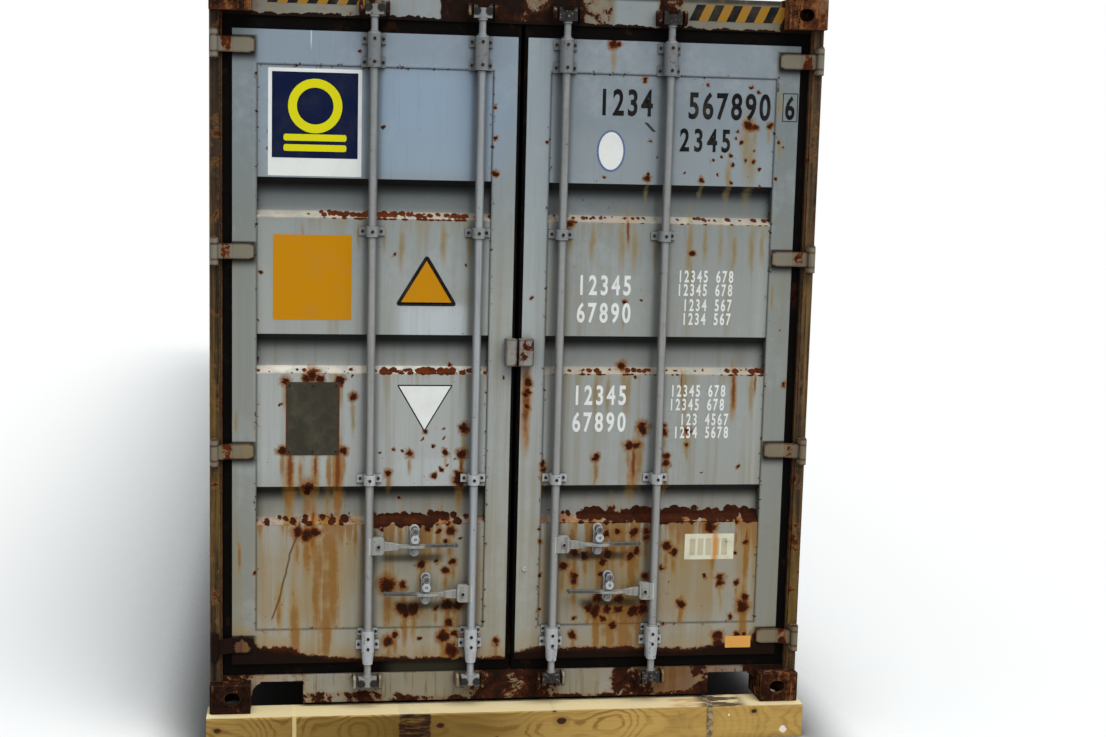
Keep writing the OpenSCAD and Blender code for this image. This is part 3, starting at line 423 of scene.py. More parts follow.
# Share of rust along the lower lips, from the top trough down, as (x in millimetres, share)
LEFT_LIPS = (
    ((-985, 0.04), (-840, 0.2), (-730, 0.6), (-560, 0.8), (-430, 0.8), (-330, 0.6), (-240, 0.75),
     (-150, 0.3)),
    ((-985, 0.12), (-760, 0.32), (-620, 0.42), (-560, 0.8), (-240, 0.9), (-200, 0.8), (-150, 0.5)),
    ((-985, 0.18), (-900, 0.22), (-850, 0.3), (-800, 0.4), (-720, 0.55), (-650, 0.4), (-560, 0.66),
     (-420, 0.85), (-300, 0.85), (-230, 0.5), (-150, 0.2)),
)
RIGHT_LIPS = (
    ((150, 0.35), (250, 0.4), (420, 0.36), (560, 0.36), (700, 0.42), (860, 0.5), (985, 0.5)),
    ((150, 0.2), (240, 0.45), (420, 0.55), (560, 0.3), (700, 0.45), (840, 0.35), (880, 0.72), (985, 0.75)),
    ((150, 0.0), (245, 0.15), (310, 0.8), (420, 1.0), (470, 0.6), (520, 1.0), (640, 1.0), (740, 0.8),
     (800, 0.9), (880, 0.85), (930, 0.95), (970, 0.7), (995, 0.95)),
)
# Middle and half width of the rust over each lip's upper edge, and the reach of the stain under it, in metres
LEFT_BANDS = ((-0.010, 0.012, 0.24), (-0.018, 0.012, 0.20), (-0.012, 0.024, 0.34))
RIGHT_BANDS = ((-0.008, 0.010, 0.24), (-0.012, 0.010, 0.20), (0.001, 0.026, 0.34))
# Height of the rusted foot of each leaf, as (x in millimetres, share of FOOT_REACH)
FOOT_REACH = 0.12
LEFT_FOOT = (
    (-1140, 0.85), (-1095, 1.0), (-1040, 0.7), (-960, 0.52), (-900, 0.5), (-850, 0.38),
    (-700, 0.2), (-20, 0.08),
)
RIGHT_FOOT = (
    (20, 0.34), (110, 0.4), (240, 0.38), (560, 0.34), (640, 0.3), (760, 0.24),
    (860, 0.42), (1130, 0.62),
)
# Painted shadow below each handle, left door and right door, as (from, to, height), and the hinges' places,
# in metres
HANDLE_SHADOWS = (((-0.53, -0.29, 0.618), (-0.47, -0.22, 0.418)), ((0.22, 0.47, 0.618), (0.29, 0.53, 0.418)))
HINGE_FOOT = 0.267
HINGE_PITCH = 0.795
PANEL_X = (PANEL_LOW.x, PANEL_HIGH.x)
PANEL_CENTRE = (PANEL_LOW.x + PANEL_HIGH.x) / 2
PANEL_WIDE = PANEL_HIGH.x - PANEL_LOW.x
PANEL_MIDDLE = (PANEL_LOW.z + PANEL_HIGH.z) / 2 - FOOT_Z
TROUGH_PITCH = 0.616
TROUGH_MIDDLES = (PANEL_MIDDLE + TROUGH_PITCH, PANEL_MIDDLE, PANEL_MIDDLE - TROUGH_PITCH)
TROUGH_HALF = 0.078
LIP_HEIGHT = 0.026


def lip_rust(s, lips, bands, columns):
    """Rust, cream paint that is partly a painted highlight, and hanging stain along the lower lip of each
    trough.
    """
    rust, cream, runs = None, None, None
    flat = s.scaled((1, 0, 1))
    cells = [s.node("ShaderNodeTexVoronoi", {}, {"Vector": flat, "Scale": scale, "Randomness": 0.9})
             for scale in (44, 31)]
    shake = s.shake(0.7, 80, 4, 0.75) + s.shake(0.9, 15)
    rough_small, rough_big = (shake - cell for cell in cells)
    patchy = 0.3 + 0.7 * s.smooth(s.noise(21, 3, 0.7), 0.38, 0.56)
    for middle, points, (rise, half, run) in zip(TROUGH_MIDDLES, lips, bands):
        above = s.height - (middle - TROUGH_HALF)
        share = s.profile(s.x, *points)
        thick = half > 0.02
        rough = rough_big if thick else rough_small
        band = abs(above - LIP_HEIGHT - rise) / half
        under = abs(above + 0.001) / 0.005
        on_lip = share * 0.8 + (0.26 if thick else 0.18) + rough - band * band * 0.34
        below_lip = share * 0.75 + 0.1 + rough - under * under * 0.4
        line = s.smooth(on_lip.top(below_lip), -0.03, 0.06)
        # Cream band over each lip, partly a painted highlight
        pale = s.smooth(above, -0.006, -0.002) * patchy
        pale = pale * s.smooth(above, LIP_HEIGHT + 0.003, LIP_HEIGHT - 0.002)
        length = s.smooth(columns, 0.38, 0.76) * (share + 0.25) * run
        run_down = s.smooth(-above, length, length * 0.05) * s.smooth(-above, -0.004, 0.006)
        run_down = run_down * s.smooth(length, 0.01, 0.09)
        rust = line if rust is None else rust.top(line)
        cream = pale if cream is None else cream.top(pale)
        runs = run_down if runs is None else runs.top(run_down)
    return rust, cream, runs


def troughs(s):
    """Painted shade in the troughs: a shade over the whole floor, and a black painted shadow under the upper
    edge.
    """
    shade, band = None, None
    for middle in TROUGH_MIDDLES:
        above = s.height - middle
        inside = s.smooth(above, TROUGH_HALF + 0.001, TROUGH_HALF - 0.003) * s.smooth(above, -0.062, -0.03)
        grade = inside * (0.4 + 0.6 * s.smooth(above, -0.04, 0.07))
        dark = inside * s.smooth(above, 0.002, 0.054)
        shade = grade if shade is None else shade.top(grade)
        band = dark if band is None else band.top(dark)
    return shade, band


def seams(s):
    """Distance to the welded border of the corrugated panel, from the panel and from the frame beside it."""
    out = abs(s.x)
    sides = abs(out - PANEL_X[0]).least(abs(out - PANEL_X[1]))
    ends = abs(s.z - PANEL_LOW.z).least(abs(s.z - PANEL_HIGH.z))
    past_ends = (s.z - PANEL_HIGH.z).top(PANEL_LOW.z - s.z)
    past_sides = (out - PANEL_X[1]).top(PANEL_X[0] - out)
    return sides.top(past_ends).least(ends.top(past_sides))


class DoorSurface(Surface):
    """A door's material, with the textures that its layers share."""

    def __init__(self, name, side, panel):
        super().__init__(name, specular_ior_level=0.10)
        self.left = side == "left"
        self.panel = panel
        self.cloud = self.noise(2.3, 4, 0.6)
        self.mottle = self.noise(26, 5, 0.7)
        self.columns = self.noise(1, 4, 0.6, stretch=(24, 24, 0.8))
        half = PANEL_WIDE / 2
        self.inside = self.smooth(abs(abs(self.x) - PANEL_CENTRE), half + 0.02, half - 0.02)


def clean_paint(s):
    """Paint in its grades from foot to top, chalked and streaked, tan inside the panel's foot."""
    c = colours()
    thin_columns = s.noise(1, 3, 0.7, stretch=(150, 150, 2.2))
    level = (s.height + (s.cloud - 0.5) * 0.5) / 2.9
    paint = s.ramp(level, [
        (0.2, c.paint_low), (0.36, c.paint_mid), (0.58, c.paint_high), (0.7, c.paint_dull),
        (0.82, c.paint_top if s.left else c.paint_top_right),
    ])
    paint = s.mix(s.smooth(abs(s.x), 1.0, 1.06) * 0.55, paint, tone(104, 108, 102))
    paint = left_blooms(s, paint) if s.left else right_shades(s, paint)
    paint = s.mix(s.smooth(s.cloud + (s.mottle - 0.5) * 0.5, 0.46, 0.78) * 0.3, paint, c.paint_chalk)
    greenish = s.smooth(s.columns, 0.45, 0.72) * s.smooth(s.height, 2.1, 1.7)
    paint = s.mix(greenish * 0.4, paint, tone(122, 114, 84))
    low = s.smooth(s.height, 0.84, 0.62) * (0.15 + 0.85 * s.inside)
    low = low * (0.45 + 0.55 * s.smooth(s.height, 0.30, 0.40))
    tint = low * (0.3 + 0.7 * s.smooth(s.columns + (s.cloud - 0.5) * 0.8, 0.36, 0.62))
    paint = s.mix(tint.held() * 0.62, paint, tone(134, 110, 66))
    paint = s.mix(s.smooth(thin_columns, 0.56, 0.8) * 0.3, paint, tone(88, 88, 80))
    return s.mix(s.smooth(s.mottle, 0.6, 0.78) * 0.2, paint, tone(84, 82, 74))


def left_blooms(s, paint):
    """Paler stretches on the left door: round the plate, under the header and beside the triangles."""
    paint = s.mix(s.between(s.height, 0.96, 1.40, 0.06) * s.inside * 0.3, paint, tone(166, 170, 168))
    bloom = s.between(s.x, -0.60, -0.10, 0.09) * s.between(s.height, 2.16, 2.58, 0.05)
    paint = s.mix(bloom * 0.6, paint, tone(136, 157, 176))
    washed = s.between(s.x, -0.47, -0.18, 0.04) * s.smooth(s.height + (s.mottle - 0.5) * 0.06, 1.68, 1.62)
    paint = s.mix(washed * s.smooth(s.height, 1.5, 1.52) * 0.75, paint, tone(180, 187, 190))
    return s.mix(washed * s.between(s.height, 0.9, 1.03, 0.02) * 0.35, paint, tone(172, 178, 178))


def right_shades(s, paint):
    """The right door's duller middle, paler stretch above it and pale upper part of its inner stile."""
    shaded = s.between(s.x, 0.16, 0.98, 0.02) * s.smooth(s.height, 2.2, 1.95)
    paint = s.mix(shaded * 0.14, paint, tone(94, 98, 96))
    paint = s.mix(s.between(s.height, 2.10, 2.34, 0.05) * s.inside * 0.35, paint, tone(138, 149, 156))
    stile = s.smooth(s.x, 0.13, 0.10) * s.smooth(s.height, 0.9, 1.6)
    return s.mix(stile * 0.4, paint, tone(158, 168, 172))


def rust_spots(s, spots, stains):
    """Stains, halos, rust and its depth for the listed spots, with a drip under each large one."""
    ragged = s.shake(1.2, 36) + s.shake(0.5, 120, 3, 0.7)
    spot = rounded(s, wavering(s, 0.045, 24), spots) + ragged
    drawn = wavering(s, 0.03, 9, STAIN_DRAW)
    stain = rounded(s, drawn, stains, STAIN_DRAW) + (s.columns - 0.5) * 1.6 + (s.mottle - 0.5) * 0.7
    stain = s.smooth(stain, -0.35, 0.85) * 0.85
    drips = [(x, height - 3.2 * radius, radius * 0.8) for x, height, radius in spots if radius > LARGE_SPOT]
    drip = rounded(s, wavering(s, 0.03, 9, DRIP_DRAW), drips, DRIP_DRAW) + (s.columns - 0.5) * 1.2
    stain = stain.top(s.smooth(drip, -0.4, 0.9) * 0.8)
    halo = s.smooth(spot, -0.9, 0.0) * 0.8
    rust = s.smooth(spot, -0.05, 0.15)
    return stain, halo, rust, 0.25 + 0.75 * s.smooth(spot, 0.05, 0.6)


def trough_paint(s, paint):
    """Paint with painted shade in the troughs, cream lips partly a painted highlight, their rust and hanging
    stain.
    """
    lips, bands = (LEFT_LIPS, LEFT_BANDS) if s.left else (RIGHT_LIPS, RIGHT_BANDS)
    line, cream, runs = lip_rust(s, lips, bands, s.columns)
    golden = s.smooth(s.noise(9, 3, 0.6), 0.42, 0.62) * 0.2 + 0.8 * s.smooth(s.height, 1.1, 0.9)
    # Cream of the lips, partly a painted highlight
    lip_paint_and_highlight = colours().lip_paint_and_highlight
    if s.left:
        lip_paint_and_highlight = s.mix(s.smooth(s.height, 1.5, 1.8) * 0.35, lip_paint_and_highlight, tone(140, 134, 120))
        lip_paint_and_highlight = s.mix(s.smooth(s.height, 1.5, 1.4) * 0.6, lip_paint_and_highlight, tone(206, 202, 190))
    else:
        lip_paint_and_highlight = s.mix(0.5, lip_paint_and_highlight, tone(140, 132, 118))
    paint = s.mix(cream, paint, s.mix(golden.held(), lip_paint_and_highlight, tone(122, 70, 24)))
    shade, band = troughs(s)
    # Painted shade over the trough floors, browner low down
    deep = s.mix(s.smooth(s.height, 1.1, 0.9) * 0.7, tone(54, 58, 58), tone(72, 58, 30))
    strength, extra = (0.66, 0.34) if s.left else (0.44 + 0.18 * s.smooth(s.height, 1.0, 1.3), 0.2)
    paint = s.mix(shade * (strength + extra * s.smooth(s.height, 1.8, 1.95)), paint, deep)
    # Black painted shadow under each trough's upper edge
    return s.mix(band * 0.88, paint, tone(12, 12, 11)), line, runs


def held_shade(s):
    """Painted shadow under the handles, on the panels, and round the hinges, on the frames."""
    if s.panel:
        shade = None
        for low, high, height in HANDLE_SHADOWS[0 if s.left else 1]:
            under = s.between(s.x, low, high, 0.02) * s.smooth(abs(s.height - height), 0.026, 0.004)
            shade = under if shade is None else shade.top(under)
        return shade * 0.7
    # Painted shadow under each hinge, and a dark line over it
    turns = (s.height - HINGE_FOOT) / HINGE_PITCH + 0.5
    near = (s.node("ShaderNodeMath", {"operation": "FRACT"}, {0: turns}) - 0.5) * HINGE_PITCH
    dirt_and_shadow = s.smooth(near, -0.082, -0.032) ** 1.6 * s.smooth(near, 0.042, 0.034)
    return dirt_and_shadow * s.smooth(abs(s.x), 1.028, 1.050) * 0.9


def scratches(s, paint):
    """The long scratch and the pale drop on the left door, or the short dark stroke on the right one."""
    if s.left:
        scratch = abs(s.x + 0.868 - (s.height - 0.755) * 0.265 + s.shake(0.02, 12, 2, 0.5))
        length = s.smooth(s.height, 0.36, 0.38) * s.smooth(s.height, 0.80, 0.76)
        paint = s.mix(s.smooth(scratch, 0.006, 0.002) * length * 0.85, paint, tone(78, 54, 32))
        drop = s.smooth(abs(s.x + 0.83), 0.004, 0.001) * s.smooth(s.height, 2.63, 2.68)
        return s.mix(drop * 0.6, paint, tone(206, 212, 216))
    stroke = abs(s.x - 0.521 + (s.height - 2.377)) + s.smooth(abs(s.height - 2.377), 0.018, 0.023)
    return s.mix(s.smooth(stroke, 0.010, 0.005) * 0.9, paint, tone(26, 27, 30))


def door_paint(name, side, spots, stains, runs_down, panel):
    """Weathered blue-grey door paint with stains that run down, rust spots, a rusted foot and painted shade.
    """
    s = DoorSurface(name, side, panel)
    paint = clean_paint(s)
    stain, halo, rust, depth = rust_spots(s, spots, stains)
    pinholes = s.smooth(s.noise(70, 2, 0.5), 0.735, 0.765) * s.smooth(s.cloud, 0.42, 0.6)
    near = seams(s)
    dots = s.smooth(near, 0.016, 0.004) * s.smooth(s.noise(34, 3, 0.7), 0.60, 0.64)
    rust = rust.top(pinholes).top(dots)
    depth = depth.top(dots * 0.8)
    paint = s.mix(s.smooth(near, 0.008, 0.001) * 0.55, paint, tone(58, 58, 54))
    if panel:
        paint, line, runs = trough_paint(s, paint)
        rust = rust.top(line)
        depth = depth.top(line * (0.5 + 0.35 * s.smooth(s.height, 1.1, 0.9)))
        stain = stain.top(runs * (0.4 + 0.4 * s.smooth(s.height, 1.0, 0.8)))
        halo = halo.top(line * 0.8)
    edge = LEAF_LOW.z - FOOT_Z + s.profile(s.x, *(LEFT_FOOT if s.left else RIGHT_FOOT)) * FOOT_REACH
    wave = s.height + (s.shake(0.07, 9, 4, 0.7) + s.shake(0.03, 50, 3, 0.7))
    foot = s.smooth(wave, edge + 0.007, edge - 0.005)
    rust = rust.top(foot)
    depth = depth.top(foot * (0.8 + 0.9 * s.smooth(s.height - edge, 0.0, -0.03)))
    stain = stain.top(s.smooth(wave, edge + 0.09, edge) * (0.5 if s.left else 0.3))
    heart = s.smooth(stain + (s.mottle - 0.5) + (s.columns - 0.5), 0.35, 0.9)
    film = s.mix(s.smooth(s.height, 1.15, 0.85), tone(132, 118, 82), colours().paint_stain)
    film = s.mix(heart * (0.25 + 0.75 * s.smooth(s.height, 1.15, 0.95)), film, colours().stain_deep)
    paint = s.mix(stain, paint, film)
    heavy = rounded(s, wavering(s, 0.02, 9, RUN_DRAW), runs_down, RUN_DRAW) + (s.mottle - 0.5) * 0.8
    paint = s.mix(s.smooth(heavy, -0.9, 0.0) * 0.5, paint, tone(146, 92, 32))
    paint = s.mix(s.smooth(heavy, -0.1, 0.6) * 0.85, paint, tone(92, 44, 12))
    paint = s.mix(halo, paint, tone(122, 80, 30))
    paint = scratches(s, paint)
    # Painted shadow of each lock rod on the paint beside it
    for rod in sorted(x for x in ROD_X.values() if (x < 0) == s.left):
        paint = s.mix(s.smooth(abs(s.x - rod), 0.046, 0.020) * 0.5, paint, tone(40, 42, 40))
    # Painted shade in the corners and behind other pieces
    paint = s.mix(corner_shade(s, 0.12) * 0.7, paint, tone(32, 33, 30))
    base = s.mix(rust.held(), paint, rust_tone(s, depth))
    # Painted shadow under the handles and round the hinges
    base = s.mix(held_shade(s), base, tone(24, 16, 11))
    rough = 0.56 + rust * 0.34 + (s.mottle - 0.5) * 0.2
    bump = rust * (0.5 + s.noise(130, 4, 0.8)) + s.mottle * 0.12
    return s.finish(base, rough.held(), bump, 0.0018, 0.7)


def worn_paint(name, paint, amount, dark=0.0, grime_and_shade=0.6, chips=0.004, rim=0.16, chalk=0.3, outline=0.0,
               reach=0.08):
    """Paint broken by rust.

    paint, amount, the share of rust, and dark, which makes the rust blacker, are plain values or functions
    of the surface. The fifth argument sets how strongly painted shade darkens the corners, chips is the width
    of bare rusty edges, rim their strength, outline the dirt along them, chalk the pale bloom and reach the
    span of the painted corner shade.
    """
    c = colours()
    s = Surface(name, specular_ior_level=0.10)
    cloud = s.noise(2.1, 4, 0.65)
    mottle = s.noise(24, 5, 0.75)
    columns = s.noise(1, 4, 0.65, stretch=(30, 30, 1.2))
    scabs = s.noise(11, 5, 0.72, warp=0.5)
    colour = paint(s) if callable(paint) else paint
    amount = amount(s) if callable(amount) else amount
    dark = dark(s) if callable(dark) else dark
    edges = worn_edges(s, chips)
    colour = s.mix(s.smooth(cloud, 0.35, 0.7) * chalk, colour, c.paint_chalk)
    colour = s.mix(s.smooth(columns, 0.46, 0.72) * (0.15 + 0.5 * amount), colour, c.paint_stain)
    colour = s.mix(s.smooth(mottle, 0.58, 0.8) * 0.35, colour, tone(70, 66, 56))
    # Painted shade in the corners
    colour = s.mix(corner_shade(s, reach) * grime_and_shade, colour, tone(28, 25, 22))
    if outline:
        colour = s.mix(edges * outline, colour, tone(40, 26, 15))
    edge = 0.88 - amount * 0.5
    level = scabs + (mottle - 0.5) * 0.4 + (cloud - 0.5) * 0.35 + edges * rim
    halo = s.smooth(level, edge - 0.12, edge)
    rust = s.smooth(level, edge - 0.01, edge + 0.02)
    depth = s.smooth(level, edge, edge + 0.25) * 0.8 + dark
    colour = s.mix(halo * 0.55, colour, tone(116, 80, 44))
    base = s.mix(rust, colour, rust_tone(s, depth))
    rough = 0.5 + rust * 0.36 + (mottle - 0.5) * 0.2
    bump = rust * (0.5 + s.noise(120, 4, 0.8)) + mottle * 0.15
    return s.finish(base, rough.held(), bump, 0.002, 0.7)


# Share of rust along the sill and the header, and of grey paint on the header, as (x in millimetres, share)
SILL_RUST = (
    (-1180, 0.95), (-1060, 0.7), (-960, 0.4), (-900, 0.5), (-850, 0.66), (-800, 0.3), (-560, 0.36),
    (-250, 0.3), (-170, 0.7), (-110, 1.0), (120, 1.0), (175, 0.8), (240, 0.36), (420, 0.4), (455, 0.8),
    (560, 0.84), (610, 0.56), (740, 0.44), (780, 0.76), (830, 0.8), (870, 0.5), (1000, 0.62), (1060, 1.0),
    (1180, 1.0),
)
HEADER_RUST = (
    (-1120, 0.8), (-1085, 0.32), (-660, 0.26), (-630, 0.7), (-560, 0.7), (-540, 0.2), (-335, 0.15),
    (-322, 1.0), (-40, 1.1), (10, 0.8), (90, 0.85), (110, 1.1), (228, 1.1), (245, 0.6), (350, 0.5),
    (366, 0.12), (535, 0.12), (550, 1.0), (632, 0.9), (648, 0.14), (1030, 0.2), (1050, 0.95), (1150, 1.0),
)
HEADER_GREY = (
    (-1200, 0), (-556, 0), (-548, 1), (-332, 1), (-326, 0), (362, 0), (368, 1), (532, 1), (540, 0), (1200, 0),
)


def sill_rust(s):
    """Share of rust on the sill: brown in the middle and at both ends, and along the foot."""
    share = s.profile(s.x, *SILL_RUST)
    foot = s.height + s.shake(0.05, 14) - 0.024 * s.between(s.x, -0.88, -0.46, 0.04)
    low = s.smooth(foot, 0.056, 0.024)
    return share.top(low * 0.8) * 1.06


def sill_colour(s):
    """Cream paint of the sill with brown streaks that run down it, tan towards the left end."""
    streaks = s.noise(1, 3, 0.65, stretch=(70, 70, 2.5)) + s.shake(0.5, 7)
    colour = s.mix(s.smooth(s.x, -0.82, -1.0) * 0.6, colours().cream, tone(140, 108, 70))
    colour = s.mix(s.smooth(streaks, 0.5, 0.68) * 0.75, colour, tone(94, 70, 44))
    colour = s.mix(s.smooth(s.x, 0.58, 0.66) * 0.85, colour, tone(78, 62, 40))
    return s.mix(s.smooth(s.x, 0.36, 0.6) * s.smooth(streaks, 0.42, 0.58) * 0.7, colour, tone(104, 62, 26))


def keeper_rust(s):
    """Share of rust on the keepers: that of the sill under the doors, and nearly all of it above them."""
    return sill_rust(s).top(0.9 * s.smooth(s.height, 1.0, 2.0))


def header_rust(s):
    """Share of rust on the header: a dark ragged lower edge, brown in the middle and round the keepers."""
    share = s.profile(s.x, *HEADER_RUST)
    return share.top(header_foot(s) * 1.4) * 1.12


def header_foot(s):
    """1 on the blackened lower edge of the header, with a ragged upper limit."""
    ragged = s.shake(0.05, 16, 4, 0.7)
    return s.smooth(s.z - HEADER_LOW + ragged + s.x * 0.004, 0.016, 0.006)


def header_depth(s):
    """How black the rust of the header is, most along its lower edge."""
    return 0.75 + 0.7 * header_foot(s)


def header_colour(s):
    """Cream paint on the header, touched up in grey in two stretches, its top edge black at the right."""
    c = colours()
    fresh = s.profile(s.x, *HEADER_GREY)
    colour = s.mix(fresh, s.mix(0.4, c.cream, tone(92, 90, 82)), tone(130, 137, 139))
    black = s.smooth(s.height, 2.864, 2.878) * s.smooth(s.x, 0.1, 0.45)
    return s.mix(black * 0.85, colour, tone(34, 28, 23))


def post_colour(s):
    """Old paint of the posts, stained brown in streaks, nearly black at the foot of the right one."""
    streaks = s.noise(1, 3, 0.6, stretch=(85, 85, 1.4)) + s.shake(0.35, 24, 4, 0.7)
    colour = s.ramp(streaks, [
        (0.34, tone(28, 18, 12)), (0.5, colours().post), (0.62, tone(106, 78, 50)), (0.72, tone(150, 98, 56)),
    ])
    colour = s.mix(s.smooth(s.height, 1.2, 2.2) * 0.3, colour, tone(44, 36, 27))
    # Darker over the right post, most at its foot, and along a strip of the left post
    darkened = s.smooth(s.x, 0.0, 0.2) * (s.smooth(s.height, 1.4, 0.7) * 0.6 + 0.28)
    darkened = darkened * (1 - s.smooth(s.x, 1.204, 1.214) * 0.6)
    darkened = darkened.top(s.between(s.x, -1.215, -1.165, 0.006) * 0.7)
    return s.mix(darkened, colour, tone(22, 14, 10))


def wall_colour(s):
    """Body paint with faded panels, runs of rust water, long scrapes and dust low down."""
    colour = s.mix(s.smooth(s.noise(0.8, 3, 0.6), 0.4, 0.62) * 0.5, colours().side_paint, tone(104, 116, 124))
    water = s.noise(1, 4, 0.65, stretch=(16, 16, 0.4))
    colour = s.mix(s.smooth(water, 0.54, 0.74) * 0.55, colour, tone(112, 92, 62))
    scrape = s.noise(1, 3, 0.7, stretch=(0.9, 0.9, 70)) + s.shake(0.5, 1.1, 2, 0.5)
    colour = s.mix(s.smooth(scrape, 0.68, 0.72) * 0.6, colour, tone(70, 72, 70))
    return s.mix(s.smooth(s.height, 0.9, 0.1) * 0.4, colour, tone(108, 100, 84))


def foot_rust(s):
    """Share of rust on the walls, which grows near their foot."""
    return 0.22 + 0.4 * s.smooth(s.height, 0.6, 0.15)


def lost_blade(s):
    """1 on the lowest hinge of the left door, which is lost under scale but for a patch near its end."""
    patch = rounded(s, wavering(s, 0.03, 40), [(-1092, 256, 36)]) + s.shake(1.2, 60, 3, 0.7)
    return s.smooth(s.height, 0.5, 0.4) * s.smooth(s.x, -0.5, -0.9) * s.smooth(patch, 0.3, 0.1)


def blade_rust(s):
    """Share of rust on the hinges: brown knuckles, rusted lower pairs and one that is lost under scale."""
    share = 0.24 + 0.2 * s.smooth(s.height, 1.2, 0.9) + 0.5 * s.between(abs(s.x), 1.135, 1.175, 0.01)
    return share.top(lost_blade(s) * 1.4)


def blade_depth(s):
    """How black the rust of the hinges is, most on the lost one."""
    return 0.3 + 0.7 * lost_blade(s)


def blade_colour(s):
    """Cream paint of the hinges, more stained on the lower ones, tan on the last patch of the lost one."""
    colour = s.mix(s.smooth(s.height, 1.4, 0.9) * 0.5, tone(114, 109, 94), tone(104, 86, 60))
    return s.mix(s.smooth(s.height, 0.5, 0.4) * s.smooth(s.x, -0.5, -0.9), colour, tone(74, 34, 12))


def bare_rust():
    """Brown scale with a few patches of old paint, on the corner castings."""
    s = Surface("casting_rust", specular_ior_level=0.05)
    scale = s.noise(14, 5, 0.75)
    grain = s.noise(110, 5, 0.8)
    high = s.smooth(s.height, 0.4, 2.4)
    level = scale + (grain - 0.5) * 0.6 + high * 0.11 + s.smooth(s.x, -0.5, 0.5) * 0.07 - 0.03
    colour = s.ramp(level, [
        (0.3, tone(12, 6, 3)), (0.52, tone(38, 19, 10)), (0.7, tone(84, 46, 24)), (0.86, tone(132, 80, 40)),
    ])
    streaks = s.noise(1, 3, 0.6, stretch=(46, 46, 3))
    colour = s.mix(s.smooth(streaks + (level - 0.5) * 0.5, 0.56, 0.7) * 0.6, colour, tone(138, 88, 50))
    old = s.smooth(s.noise(7, 4, 0.7), 0.62, 0.68)
    colour = s.mix(old * 0.45, colour, tone(98, 86, 70))
    colour = s.mix(worn_edges(s, 0.004) * 0.35, colour, tone(118, 84, 58))
    # Painted shade in the corners
    base = s.mix(corner_shade(s, 0.06) * 0.7, colour, tone(14, 10, 9))
    bump = scale * 0.6 + grain * 0.5
    return s.finish(base, 0.86 - 0.2 * old, bump, 0.003, 0.8)


# Eyes of the handle catches, as (x, height, radius) in millimetres
CATCH_EYES = [(-402, 738, 15), (-354, 538, 15), (354, 738, 15), (402, 538, 15)]


def zinc(name, colour, grime_and_shade, rod=None, grip=False):
    """Dull galvanised steel: mottled zinc bloom, runs of grime, painted shade in the hollows and higher up,
    pale rubbed edges that are partly a painted highlight, and specks of rust.

    rod is the place across of a lock rod's axis: its flanks are darkened as painted shade and its cams are
    blackened, the hollows of the left ones as painted shadow; or the far end of its handle's grip is darkened
    as painted shade.
    """
    s = Surface(name, metallic=0.0, specular_ior_level=0.15)
    bloom = s.noise(42, 4, 0.6)
    fine = s.noise(210, 3, 0.7)
    runs = s.noise(1, 3, 0.6, stretch=(70, 70, 3))
    bright = 0.4
    # Greyer and darker higher up, as painted shade
    colour = s.mix(s.smooth(s.height, 1.4, 2.7) * 0.5, colour, tone(112, 120, 124))
    base = s.mix(s.smooth(bloom, 0.35, 0.7) * 0.2, colour, tone(156, 160, 160))
    base = s.mix(s.smooth(runs, 0.42, 0.72) * grime_and_shade, base, tone(78, 70, 58))
    if rod is None:
        flat = s.node("ShaderNodeVectorMath", {"operation": "MULTIPLY"}, {0: s.place, 1: (1, 0, 1)})
        # Darker still higher up, as painted shade
        base = s.mix(s.smooth(s.height, 1.0, 2.4) * 0.75, base, tone(98, 101, 101))
        eye = rounded(s, flat, CATCH_EYES)
        base = s.mix(s.smooth(eye, 0.0, 0.12) * 0.8, base, tone(52, 50, 48))
        base = s.mix(s.smooth(s.noise(60, 3, 0.7), 0.60, 0.66) * 0.7, base, tone(70, 60, 50))
    else:
        aside = abs(s.x - rod)
        if grip:
            # The far end of the grip darkened as painted shade
            base = s.mix(s.smooth(aside, 0.215, 0.235) * 0.85, base, tone(50, 48, 45))
        else:
            low, high = ROD_BOXES["left_inner"]
            tip = (s.z - low.z).least(high.z - s.z)
            cam = s.smooth(tip, 0.062, 0.052)
            # The rod's flanks darkened as painted shade
            base = s.mix(s.smooth(aside, 0.006, 0.0165) * 0.6 * (1 - cam), base, tone(58, 57, 54))
            hollow = ((aside - 0.026) ** 2 + (tip - 0.025) ** 2) ** 0.5
            flecks = s.smooth(s.noise(80, 3, 0.7), 0.58, 0.64)
            black = 1 - flecks * 0.6
            # On the left rods the cams are black in their hollows, as painted shadow, and at their ends
            if rod < 0:
                black = s.smooth(hollow, 0.021, 0.014).top(s.smooth(tip, 0.014, 0.004))
            base = s.mix(cam * black * 0.94, s.mix(cam * 0.4, base, tone(112, 106, 100)), tone(15, 10, 8))
            bright = 0.5 - cam * 0.42
    # Pale rubbed edges, partly a painted highlight
    base = s.mix(worn_edges(s, 0.003) * bright, base, tone(206, 208, 204))
    specks = s.smooth(s.noise(33, 4, 0.8), 0.62, 0.68)
    base = s.mix((specks * grime_and_shade * 1.9).held(), base, rust_tone(s, 0.5))
    # Painted shade in the hollows
    base = s.mix(corner_shade(s, 0.06) * 0.9, base, tone(22, 18, 15))
    rough = 0.46 + (fine - 0.5) * 0.25 + specks * 0.3
    return s.finish(base, rough.held(), fine * 0.5 + bloom, 0.0009, 0.6)


